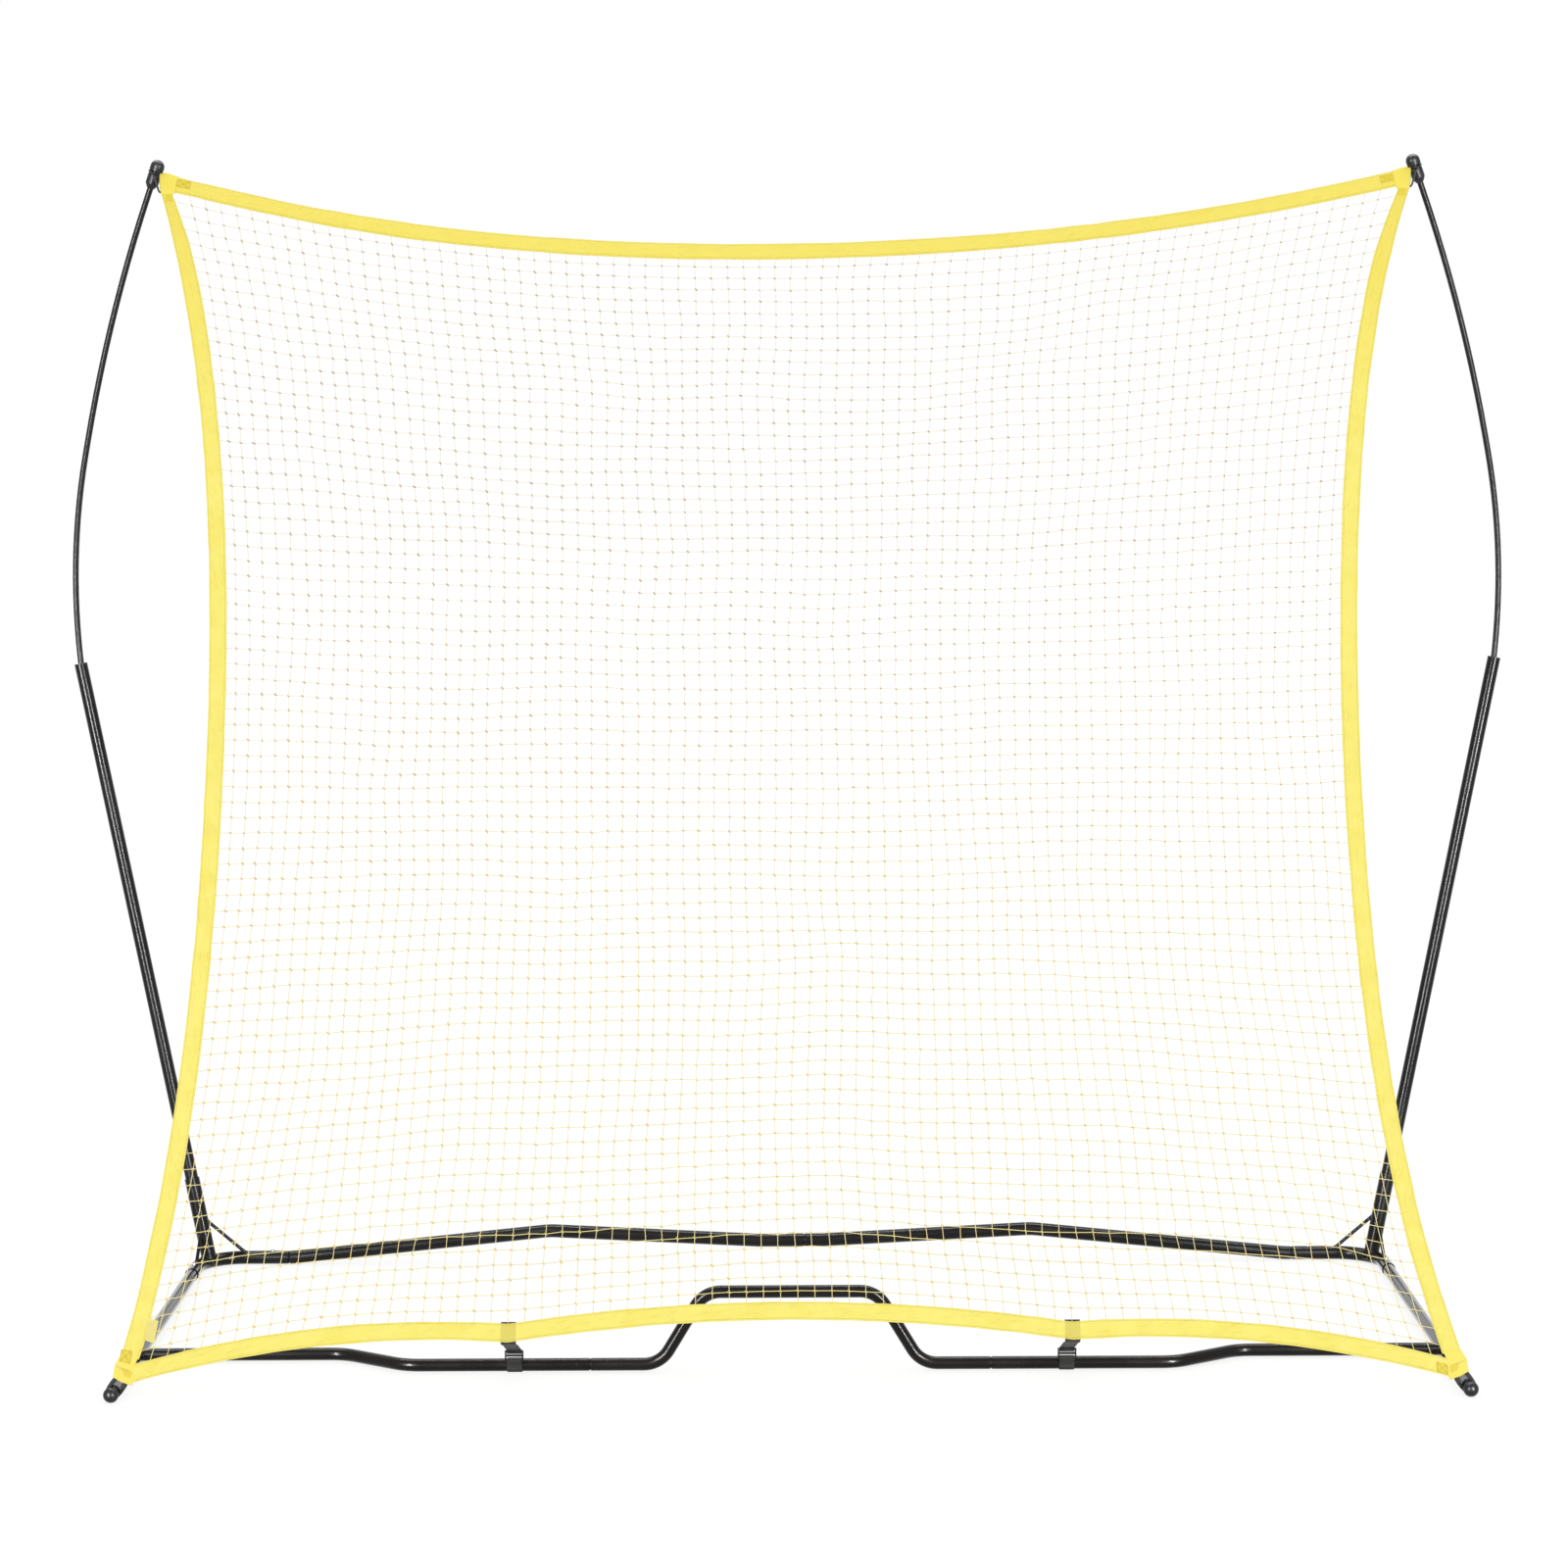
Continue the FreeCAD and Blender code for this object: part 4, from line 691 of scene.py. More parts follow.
@dataclass
class NetPlane:
    """The leaning plane of the net, and the curves of its edges, in metres."""

    foot_y: float
    foot_z: float = 0.030
    tilt: float = math.radians(23.23)
    side_low: float = 0.041
    side_high: float = 2.120
    side_halves: Tuple[float, ...] = (1.0880, 1.0015, 0.9850, 1.0135, 1.1190)
    top_middle: float = 2.0185
    top_rise: float = 0.1435
    top_half: float = 1.123
    bottom_middle: float = 0.1265
    bottom_strap: float = 0.092
    bottom_corner: float = 0.029
    bottom_bulge: float = 0.0265
    bottom_half: float = 1.069
    strap_half: float = 0.459
    width: float = 0.030
    lean_heights: Tuple[float, ...] = (
        0.0, 0.06, 0.12, 0.22, 0.42, 0.65, 1.00, 1.37, 1.77, 1.95, 2.11, 2.25,
    )
    lean: Tuple[float, ...] = (
        0.0, 0.0, -0.0015, -0.0045, -0.0068, -0.0080, -0.0080, -0.0062, -0.0048, -0.0035, 0.0, 0.0,
    )
    sag_places: Tuple[float, ...] = (-1.10, -1.0, -0.84, -0.66, -0.50, -0.35, -0.20, 0.0, 0.20)
    sag: Tuple[float, ...] = (0.0, -0.0025, -0.0070, -0.0090, -0.0078, -0.0060, -0.0040, -0.0015, 0.0)

    def __post_init__(self) -> None:
        """Work out the plane's three directions."""
        self.across = np.array([1.0, 0.0, 0.0])
        self.up = np.array([0.0, math.sin(self.tilt), math.cos(self.tilt)])
        self.normal = np.array([0.0, -math.cos(self.tilt), math.sin(self.tilt)])
        self.foot = np.array([0.0, self.foot_y, self.foot_z])

    def world(self, x: np.ndarray, s: np.ndarray, n: Union[float, np.ndarray] = 0.0) -> np.ndarray:
        """Return points given across the plane, up it and in front of it."""
        x, s, n = np.broadcast_arrays(x, s, n)
        x = x + np.interp(s, self.lean_heights, self.lean)
        return self.foot + x[..., None] * self.across + s[..., None] * self.up + n[..., None] * self.normal

    def side_edge(self, s: np.ndarray) -> np.ndarray:
        """Return how far out the side band's outer edge lies at a height."""
        step = (self.side_high - self.side_low) / 4.0
        place = (np.asarray(s, float) - self.side_low) / step
        total = np.zeros_like(place)
        for i, half in enumerate(self.side_halves):
            share = np.full_like(place, half)
            for j in range(5):
                if j != i:
                    share = share * (place - j) / (i - j)
            total = total + share
        return total

    def top_edge(self, x: np.ndarray) -> np.ndarray:
        """Return the height of the top band's upper edge."""
        x = np.asarray(x, float)
        arc = self.top_middle + self.top_rise * (x / self.top_half) ** 2
        return arc + np.interp(x, self.sag_places, self.sag)

    def bottom_edge(self, x: np.ndarray) -> np.ndarray:
        """Return the height of the bottom band's upper edge."""
        x = np.abs(np.asarray(x, float))
        inner = self.bottom_middle + (self.bottom_strap - self.bottom_middle) * (x / self.strap_half) ** 2
        share = (x - self.strap_half) / (self.bottom_half - self.strap_half)
        chord = self.bottom_strap + (self.bottom_corner - self.bottom_strap) * share
        outer = chord + 4.0 * self.bottom_bulge * share * (1.0 - share)
        return np.where(x <= self.strap_half, inner, outer)

    @staticmethod
    def inward(edge: Curve, at: np.ndarray, width: float) -> np.ndarray:
        """Move an edge curve in by a width, square to the curve."""
        slope = (edge(at + 0.001) - edge(at - 0.001)) / 0.002
        return edge(at) - width * np.sqrt(1.0 + slope * slope)


@dataclass
class Net:
    """The knotted net: twine columns and rows with a slanted knot at each crossing."""

    plane: NetPlane
    finishes: Finishes
    cells: int = 77
    tuck: float = 0.006
    twine: float = 0.00062
    knot_length: float = 0.0062
    knot_radius: float = 0.0013
    unevenness: float = 0.0014
    wander: float = 0.0042
    rounds: int = 2500
    patches: int = 14
    fine: int = 600

    def border(self) -> Tuple[np.ndarray, np.ndarray, np.ndarray, np.ndarray]:
        """Return the four borders, tucked a little under the bands, as (x, s) points."""
        plane = self.plane
        width = plane.width - self.tuck
        count = self.cells + 1
        corner_low = self.meet(plane.bottom_edge, -self.tuck, width, 0.05)
        corner_high = self.meet(lambda x: plane.inward(plane.top_edge, x, width), 0.0, width, 2.1)
        x = np.linspace(-corner_low[0], corner_low[0], self.fine)
        bottom = self.even(np.stack([x, plane.bottom_edge(x) - self.tuck], -1), count)
        x = np.linspace(-corner_high[0], corner_high[0], self.fine)
        top = self.even(np.stack([x, plane.inward(plane.top_edge, x, width)], -1), count)
        s = np.linspace(corner_low[1], corner_high[1], self.fine)
        right = self.even(np.stack([plane.inward(plane.side_edge, s, width), s], -1), count)
        left = right * [-1.0, 1.0]
        return bottom, top, left, right

    def meet(self, edge: Curve, shift: float, width: float, s: float) -> Spot:
        """Return where a long edge meets the side's inner edge."""
        x = 1.0
        for _ in range(40):
            x = float(self.plane.inward(self.plane.side_edge, np.array(s), width))
            s = float(edge(np.array(x))) + shift
        return x, s

    @staticmethod
    def even(points: np.ndarray, count: int) -> np.ndarray:
        """Return evenly spaced points of a curve."""
        length = run_lengths(points)
        wanted = np.linspace(0.0, length[-1], count)
        return np.stack([np.interp(wanted, length, points[:, k]) for k in range(2)], -1)

    def nodes(self) -> np.ndarray:
        """Return the knots' places: the borders stay and the rest is pulled even."""
        bottom, top, left, right = self.border()
        count = self.cells + 1
        share = np.linspace(0.0, 1.0, count)
        u, v = share[None, :, None], share[:, None, None]
        grid = (1 - v) * bottom[None] + v * top[None] + (1 - u) * left[:, None] + u * right[:, None]
        low = (1 - u) * (1 - v) * bottom[0] + u * (1 - v) * bottom[-1]
        grid = grid - (low + (1 - u) * v * top[0] + u * v * top[-1])
        for _ in range(self.rounds):
            pull = grid[:-2, 1:-1] + grid[2:, 1:-1] + grid[1:-1, :-2] + grid[1:-1, 2:]
            grid[1:-1, 1:-1] += 0.95 * (pull / 4.0 - grid[1:-1, 1:-1])
        return grid + self.slack(count)

    def slack(self, count: int) -> np.ndarray:
        """Return how far each knot strays: a slow drift and a little scatter, none at the edges."""
        random = np.random.default_rng(7)
        coarse = random.normal(0.0, self.wander, (self.patches, self.patches, 2))
        places = np.linspace(0.0, self.patches - 1.0, count)
        marks = np.arange(self.patches)
        drift = np.stack([[np.interp(places, marks, line) for line in coarse[..., k]] for k in range(2)], -1)
        drift = np.stack([[np.interp(places, marks, line) for line in drift[..., k].T] for k in range(2)], -1)
        rows = np.arange(count)
        hold = np.clip(np.minimum(rows, count - 1 - rows) / 3.0, 0.0, 1.0)
        scatter = random.normal(0.0, self.unevenness / 2, drift.shape)
        return (drift + scatter) * hold[:, None, None] * hold[None, :, None]

    def strands(self, name: str, lines: np.ndarray) -> bpy.types.Object:
        """Make one set of strands, each through its knots."""
        shape = Shape()
        for line in lines:
            path = self.plane.world(line[:, 0], line[:, 1])
            shape.add_rings(tube_rings(path, self.twine, 5, self.plane.normal))
        return shape.build(name, self.finishes.twine)

    def knots(self, name: str, places: np.ndarray) -> bpy.types.Object:
        """Make the slanted knots at the given places."""
        shape = Shape()
        slant = unit(self.plane.across - self.plane.up)
        side = np.cross(slant, self.plane.normal)
        profile = ((-1.0, 0.35), (-0.45, 1.0), (0.45, 1.0), (1.0, 0.35))
        turn = np.arange(5) * 2.0 * math.pi / 5
        random = np.random.default_rng(11)
        for place in places:
            size = random.uniform(0.85, 1.2)
            rise = np.clip(0.5 + place[0] * 0.9, 0.0, 1.4)
            tip = unit(slant + side * random.uniform(-0.35, 0.35) + self.plane.normal * rise)
            flat = unit(np.cross(tip, self.plane.normal))
            circle = np.cos(turn)[:, None] * flat + np.sin(turn)[:, None] * np.cross(flat, tip)
            middle = self.plane.world(place[0], place[1])
            rings = [
                middle + tip * t * size * self.knot_length / 2 + circle * r * size * self.knot_radius
                for t, r in profile
            ]
            shape.add_rings(np.array(rings))
        return shape.build(name, self.finishes.knot)

    def build(self) -> List[bpy.types.Object]:
        """Make rows, columns and knots in place of the plain net."""
        grid = self.nodes()
        inner = grid[1:-1, 1:-1]
        half = inner.shape[0] // 2
        pieces = [
            self.strands("net_rows", grid[1:-1]),
            self.strands("net_columns", np.swapaxes(grid, 0, 1)[1:-1]),
            self.knots("net_knots_low", inner[:half].reshape(-1, 2)),
            self.knots("net_knots_high", inner[half:].reshape(-1, 2)),
        ]
        for piece in pieces:
            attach(piece, "frame")
            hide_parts("net_mesh")
        return pieces


@dataclass
class Bands:
    """The doubled webbing round the net."""

    plane: NetPlane
    finishes: Finishes
    thickness: float = 0.0027
    ripple: float = 0.0005
    fray: float = 0.0005
    gather_length: float = 0.20
    gather: float = 0.0115

    @staticmethod
    def section() -> Tuple[np.ndarray, np.ndarray]:
        """Return the ring's places across and in front, as shares of the width and half the thickness."""
        inner = np.array([0.03, 0.2, 0.4, 0.6, 0.8, 0.97])
        across = np.concatenate([inner, [0.995, 1.0, 0.995], inner[::-1], [0.005, 0.0, 0.005]])
        front = np.concatenate([np.full(6, 1.0), [0.7, 0.0, -0.7], np.full(6, -1.0), [-0.7, 0.0, 0.7]])
        return across, front

    def strip(self, name: str, outer: np.ndarray, inner: np.ndarray, seed: int) -> bpy.types.Object:
        """Make one band between its two long edges.

        Args:
            name: the band's node and piece.
            outer: points of the outer edge in the plane.
            inner: points of the inner edge.
            seed: which ripples it has.

        Returns:
            The piece.
        """
        across, front = self.section()
        count = len(outer)
        along = run_lengths(outer)
        step = inner - outer
        edge = gentle_noise(seed, count, 5, self.fray)
        lift = gentle_noise(seed + 1, count, 9, self.ripple)
        share = across[None, :, None]
        fray = unit(step)[:, None] * edge[:, None, None] * (2 * share - 1)
        flat = outer[:, None] + step[:, None] * share + fray
        belly = np.sin(across * math.pi)
        n = front[None] * self.thickness / 2 + lift[:, None] * belly[None]
        rings = self.plane.world(flat[..., 0], flat[..., 1], n)
        shape = Shape()
        shape.add_rings(rings, along, across * self.plane.width)
        low = name == "band_bottom"
        piece = shape.build(name + "_webbing", self.finishes.low_band if low else self.finishes.band)
        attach(piece, "frame")
        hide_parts(name)
        return piece

    def side(self, side: Side) -> bpy.types.Object:
        """Make a side band, gathered towards its upper end."""
        plane = self.plane
        s = np.linspace(plane.side_low - 0.004, plane.side_high + 0.004, 300)
        share = np.clip((s - plane.side_high + self.gather_length) / self.gather_length, 0.0, 1.0)
        narrow = share ** 2 * self.gather
        outer = plane.side_edge(s)
        inner = plane.inward(plane.side_edge, s, plane.width) + narrow
        sign = side.value
        points = [np.stack([sign * x, s], -1) for x in (outer, inner)]
        return self.strip(f"band_{side.word}", points[0], points[1], 20 + sign)

    def top(self) -> bpy.types.Object:
        """Make the top band."""
        x = np.linspace(-1.096, 1.096, 300)
        high = np.stack([x, self.plane.top_edge(x)], -1)
        low = np.stack([x, self.plane.inward(self.plane.top_edge, x, self.plane.width)], -1)
        return self.strip("band_top", high, low, 31)

    def bottom(self) -> bpy.types.Object:
        """Make the bottom band, which the two straps pull down."""
        half = self.plane.bottom_half + 0.003
        x = np.linspace(-half, half, 320)
        high = self.plane.bottom_edge(x)
        low = high - self.plane.width
        return self.strip("band_bottom", np.stack([x, high], -1), np.stack([x, low], -1), 43)

    def build(self) -> List[bpy.types.Object]:
        """Make all four bands."""
        return [self.side(Side.LEFT), self.side(Side.RIGHT), self.top(), self.bottom()]


@dataclass
class Patches:
    """The folded corner patches and the sewn boxes beside them."""

    plane: NetPlane
    finishes: Finishes
    thickness: float = 0.0042
    end_thickness: float = 0.0034
    sewn_thickness: float = 0.0007
    sewn_lift: float = 0.0015
    thread_level: float = 0.0018
    thread: float = 0.00042
    stitch: float = 0.0032

    def slab(
        self, name: str, outline: Sequence[Spot], side: Side,
        material: bpy.types.Material, thickness: float, lift: float = 0.0, node: str = "",
    ) -> bpy.types.Object:
        """Make a soft edged flat piece of webbing from its outline in the plane.

        Args:
            name: the piece.
            outline: its corners, across and up, on the right-hand side.
            side: which hand.
            material: its finish.
            thickness: how thick it is.
            lift: how far its middle lies in front of the plane.
            node: the node that it stands for, if any.

        Returns:
            The piece.
        """
        corners = np.array(outline, float) * [side.value, 1.0]
        middle = corners.mean(0)
        steps = ((0.0014, 0.5), (0.0004, 0.40), (0.0, 0.15), (0.0, -0.15), (0.0004, -0.40), (0.0014, -0.5))
        rings = []
        for inset, level in steps:
            shrunk = corners - unit(corners - middle) * inset
            rings.append(self.plane.world(shrunk[:, 0], shrunk[:, 1], lift + level * thickness))
        rings = np.array(rings)
        shape = Shape()
        shape.add_rings(rings if side is Side.LEFT else rings[:, ::-1])
        piece = shape.build(name, material, smooth=False)
        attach(piece, "frame")
        if node:
            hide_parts(node)
        return piece

    def stitches(self, name: str, runs: Sequence[Run], side: Side, level: float) -> bpy.types.Object:
        """Make straight runs of thread stitches.

        Args:
            name: the piece.
            runs: the start and end of each run, across and up.
            side: which hand.
            level: how far in front of the plane the thread enters.

        Returns:
            The piece.
        """
        shape = Shape()
        for pair in runs:
            start, end = [np.array(corner) * [side.value, 1.0] for corner in pair]
            count = max(2, int(float(np.linalg.norm(end - start)) / self.stitch))
            for k in range(count):
                ends = [start + (end - start) * (k + share) / count for share in (0.12, 0.5, 0.88)]
                heights = (level, level + 0.0006, level)
                path = np.array([self.plane.world(*spot, height) for spot, height in zip(ends, heights)])
                up = self.plane.normal + self.plane.across * 0.01
                shape.add_rings(tube_rings(path, self.thread, 5, up))
        piece = shape.build(name, self.finishes.thread)
        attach(piece, "frame")
        return piece

    @staticmethod
    def box(corners: Sequence[Spot]) -> List[Run]:
        """Return the runs of a box with a cross in it."""
        sides = [(corners[k], corners[(k + 1) % 4]) for k in range(4)]
        return sides + [(corners[0], corners[2]), (corners[1], corners[3])]

    def low_corner(self, side: Side) -> List[bpy.types.Object]:
        """Make the folded patch at the net's foot: the band's end, a darker sheet on the fold as painted
        shade, and the tab under it.
        """
        word = side.word
        finish = self.finishes
        end = [
            (1.0892, 0.0425), (1.0584, 0.0425), (1.0640, 0.0290),
            (1.0690, 0.0175), (1.0840, 0.0225), (1.0962, 0.0292),
        ]
        tab = [
            (1.0965, 0.0288), (1.0840, 0.0222), (1.0688, 0.0172), (1.0650, 0.0060),
            (1.0672, -0.0052), (1.0855, 0.0005), (1.0992, 0.0085),
        ]
        fold = [(1.0845, 0.0218), (1.0690, 0.0160), (1.0700, 0.0055), (1.0800, 0.0100)]
        node = f"corner_patch_low_{word}"
        pieces = [
            self.slab(f"low_patch_end_{word}", end, side, finish.patch, self.end_thickness, node=node),
            self.slab(f"low_patch_tab_{word}", tab, side, finish.patch, self.thickness, node=node),
            # Painted shade: a thin sheet of the darker sewn webbing laid on the fold's crease.
            self.slab(f"low_patch_fold_{word}", fold, side, finish.sewn, 0.0008, lift=0.0022),
        ]
        if side is Side.LEFT:
            box = [(1.0870, 0.0530), (1.0700, 0.0500), (1.0720, 0.0300), (1.0890, 0.0345)]
        else:
            box = [(1.0480, 0.0230), (1.0640, 0.0185), (1.0640, 0.0030), (1.0480, 0.0085)]
        sewn = (side, finish.sewn, self.sewn_thickness, self.sewn_lift)
        pieces.append(self.slab(f"low_sewn_{word}", box, *sewn))
        runs = self.box(box) + [((1.0845, 0.0205), (1.0700, 0.0155)), ((1.0955, 0.0270), (1.0855, 0.0212))]
        pieces.append(self.stitches(f"low_stitch_{word}", runs, side, self.thread_level))
        return pieces

    def high_corner(self, side: Side) -> List[bpy.types.Object]:
        """Make the patch at the net's shoulder and the sewn box at the top band's end."""
        word = side.word
        finish = self.finishes
        tab = [
            (1.0975, 2.1195), (1.1190, 2.1195), (1.1225, 2.1350), (1.1240, 2.1630),
            (1.1080, 2.1610), (1.0895, 2.1545), (1.0930, 2.1400), (1.0935, 2.1260),
        ]
        box = [(1.0895, 2.1480), (1.0670, 2.1430), (1.0685, 2.1300), (1.0915, 2.1355)]
        foot = [(1.1000, 2.1190), (1.1125, 2.1190), (1.1085, 2.1050), (1.0970, 2.1050)]
        node = f"corner_patch_high_{word}"
        sewn = (side, finish.sewn, self.sewn_thickness, self.sewn_lift)
        return [
            self.slab(f"high_patch_{word}", tab, side, finish.patch, self.thickness, node=node),
            self.slab(f"high_sewn_{word}", box, *sewn),
            self.slab(f"high_foot_{word}", foot, *sewn),
            self.stitches(f"high_stitch_{word}", self.box(box), side, self.thread_level),
        ]

    def build(self) -> List[bpy.types.Object]:
        """Make the four corners."""
        makers = (self.low_corner, self.high_corner)
        return [piece for side in Side for maker in makers for piece in maker(side)]


@dataclass
class CornerLoops:
    """The black loops that hold the net's corners: cord round the caps, webbing round the knobs."""

    plane: NetPlane
    finishes: Finishes
    cord: float = 0.00175

    def high(self, side: Side) -> bpy.types.Object:
        """Make the cord from the patch behind the cap, round its neck and back to the patch."""
        mirror = np.array([side.value, 1.0, 1.0])
        corners = self.route() * mirror
        path = smooth_path(corners, 10)
        braid = 1.0 + 0.05 * np.sin(np.arange(len(path)) * 1.9)
        shape = Shape()
        up = np.array([0.36 * side.value, 0.18, -0.91])
        shape.add_rings(tube_rings(path, self.cord * braid, 12, up), run_lengths(path))
        piece = shape.build(f"high_loop_{side.word}", self.finishes.cord)
        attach(piece, "frame")
        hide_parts(f"corner_loop_high_{side.word}")
        return piece

    def route(self) -> np.ndarray:
        """Return the cord's points on the right-hand side."""
        axis = np.array([-0.36179, -0.18437, 0.91385])
        neck = np.array([1.13101, 0.38155, 2.01790])
        front = np.array([0.06787, -0.98286, -0.17142])
        outward = np.array([0.92979, 0.0, 0.36810])
        hold, clear = 0.01075, 0.01395
        around = [
            (-1.10, -0.75, 0.0), (-1.05, 0.1, 0.0), (-0.72, 0.78, 0.0),
            (0.0, 1.06, 0.0), (0.72, 0.80, -0.02), (1.12, 0.2, -0.15),
        ]
        start = self.plane.world(1.116, 2.154, -0.0010)
        points = [start, start - self.plane.normal * 0.0040]
        points += [neck + front * f * hold + outward * o * hold + axis * a * hold for f, o, a in around]
        points.append(neck + front * 1.17 * clear - outward * 0.42 * clear - axis * 0.62 * clear)
        end = self.plane.world(1.1185, 2.125, 0.0)
        points += [end + self.plane.across * 0.0045 + np.array([0.0, -0.001, 0.001]), end]
        return np.array(points)

    def low(self, side: Side) -> bpy.types.Object:
        """Make the webbing loop that hangs from the low patch and goes round the knob's neck."""
        reach = 0.0104
        turn = np.radians(np.linspace(35.0, -140.0, 20))
        neck = np.stack([reach * np.cos(turn), TUBE_RADIUS + reach * np.sin(turn)], -1)
        outer = np.array([(-0.0065, 0.0370), (-0.0030, 0.0325), (0.0012, 0.0277), (0.0052, 0.0228)])
        inner = np.array([(-0.0118, 0.0110), (-0.0153, 0.0165), (-0.0185, 0.0218), (-0.0208, 0.0262)])
        flat = np.concatenate([outer, neck, inner])
        outer_width = [0.0038, 0.0037, 0.0034, 0.0029]
        inner_width = [0.0028, 0.0034, 0.0038, 0.0039]
        width = np.concatenate([outer_width, np.full(20, 0.0020), inner_width])
        low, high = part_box(f"corner_loop_low_{side.word}")
        path = np.stack([side.value * (flat[:, 0] + KNOB_HALF), np.zeros(len(flat)), flat[:, 1]], -1)
        normal = np.cross(tangents(path), np.array([0.0, 1.0, 0.0]))
        ring = np.array([
            (-1, 0.25), (-0.7, 0.0), (0.7, 0.0), (1, 0.25),
            (1, 0.75), (0.7, 1.0), (-0.7, 1.0), (-1, 0.75),
        ])
        depth = low[1] + (high[1] - low[1]) * ring[:, 1]
        rings = path[:, None] + normal[:, None] * (ring[:, 0] * width[:, None])[..., None]
        rings = rings + depth[None, :, None] * np.array([0.0, 1.0, 0.0])
        shape = Shape()
        shape.add_rings(rings, run_lengths(path), ring[:, 1] * (high[1] - low[1]))
        piece = shape.build(f"low_loop_{side.word}", self.finishes.strap)
        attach(piece, "frame")
        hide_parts(f"corner_loop_low_{side.word}")
        return piece

    def build(self) -> List[bpy.types.Object]:
        """Make all four loops."""
        return [maker(side) for side in Side for maker in (self.high, self.low)]


@dataclass
class Straps:
    """The two black straps that tie the bottom band to the front bar."""

    plane: NetPlane
    finishes: Finishes
    bar_y: float
    bar_z: float = TUBE_RADIUS
    width: float = 0.025
    thickness: float = 0.0012
    link: float = math.radians(140.0)
    link_reach: float = 0.018
    pin: float = 0.0015
    gap: float = 0.0003
    lean: float = math.radians(5.7)

    def ribbon(self, name: str, node: str, path: np.ndarray, side: Side) -> bpy.types.Object:
        """Make a flat strap whose width runs along X.

        Args:
            name: the piece.
            node: the node that it stands for.
            path: its middle line, as (y, z) points.
            side: which hand.

        Returns:
            The piece.
        """
        line = np.stack([np.zeros(len(path)), path[:, 0], path[:, 1]], -1)
        normal = np.cross(tangents(line), np.array([1.0, 0.0, 0.0]))
        shares = np.array([-0.5, -0.49, -0.25, 0.0, 0.25, 0.49, 0.5, 0.49, 0.25, 0.0, -0.25, -0.49])
        sides = np.array([0.0, 0.8, 1.0, 1.0, 1.0, 0.8, 0.0, -0.8, -1.0, -1.0, -1.0, -0.8])
        middle = side.value * self.plane.strap_half
        rings = line[:, None] + normal[:, None] * sides[None, :, None] * self.thickness / 2
        rings = rings + np.array([1.0, 0.0, 0.0]) * (middle + shares * self.width)[None, :, None]
        shape = Shape()
        shape.add_rings(rings, run_lengths(line), (shares + 0.5) * self.width)
        piece = shape.build(name, self.finishes.strap)
        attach(piece, "frame")
        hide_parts(node)
        return piece

    def hinge(self) -> Spot:
        """Return the place of the buckle's hinge bar, as (y, z)."""
        y = self.bar_y + self.link_reach * math.cos(self.link)
        return y, self.bar_z + self.link_reach * math.sin(self.link)

    def strap(self, side: Side) -> bpy.types.Object:
        """Make the strap from the band to the buckle."""
        node = f"net_strap_{side.word}"
        behind = -(self.pin + self.gap + self.thickness / 2)
        high = self.plane.world(np.array(0.0), np.array(0.0955), behind)
        low = self.plane.world(np.array(0.0), np.array(0.062), behind)
        y, z = self.hinge()
        sine, cosine = math.sin(self.lean), math.cos(self.lean)

        def at(along: float, back: float) -> Spot:
            """Return a point up the buckle and behind it."""
            return y - sine * along + cosine * back, z + cosine * along + sine * back

        over = at(0.0181, 0.0)
        drop = [
            (low[1] + (over[0] - low[1]) * share, low[2] + (over[1] - low[2]) * share)
            for share in (0.3, 0.6, 0.85)
        ]
        corners = [
            (high[1], high[2]), (low[1], low[2]), *drop, over,
            at(0.01812, 0.00145), at(0.0174, 0.0026), at(0.0150, 0.0026), at(0.0100, 0.0026),
        ]
        path = smooth_path(corners, 7)
        return self.ribbon(f"strap_{side.word}", node, path, side)

    def loop(self, side: Side) -> bpy.types.Object:
        """Make the webbing round the front bar and the buckle's hinge bar."""
        node = f"bar_loop_{side.word}"
        y, z = self.hinge()
        ring = FRONT_RADIUS + 0.0002 + self.thickness / 2
        eye = self.pin + self.gap + self.thickness / 2
        link = self.link
        spread = math.acos((ring - eye) / self.link_reach)
        turn = np.linspace(link + spread, link - spread + 2 * math.pi, 40)
        around = [(self.bar_y + ring * math.cos(t), self.bar_z + ring * math.sin(t)) for t in turn]
        top = np.linspace(link - spread, link + spread, 14)
        over = [(y + eye * math.cos(t), z + eye * math.sin(t)) for t in top]
        path = np.array(around + over + around[:1])
        return self.ribbon(f"loop_{side.word}", node, path, side)

    def build(self) -> List[bpy.types.Object]:
        """Make both straps and loops."""
        return [maker(side) for side in Side for maker in (self.strap, self.loop)]


@dataclass
class Label:
    """The blank sewn label on the left band."""

    plane: NetPlane
    finishes: Finishes

    def build(self) -> List[bpy.types.Object]:
        """Make the label in place of the plain one."""
        rise = np.linspace(0.0, 1.0, 12)[:, None]
        shares = np.array([0.0, 0.25, 0.5, 0.75, 1.0, 1.0, 0.75, 0.5, 0.25, 0.0])
        outer = np.array([-1.0507, 0.0686]) + np.array([0.0049, 0.0356]) * rise
        inner = np.array([-1.0346, 0.0625]) + np.array([0.0069, 0.0365]) * rise
        flat = outer[:, None] + (inner - outer)[:, None] * shares[None, :, None]
        curl = 0.0008 * np.sin(rise * 2.6) * shares
        front = np.array([0.0021] * 5 + [0.0015] * 5)
        rings = self.plane.world(flat[..., 0], flat[..., 1], front[None] + curl)
        shape = Shape()
        shape.add_rings(rings, rise[:, 0] * 0.037, shares * 0.017)
        piece = shape.build("blank_label", self.finishes.label, smooth=False)
        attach(piece, "frame")
        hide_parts("band_label")
        return [piece]


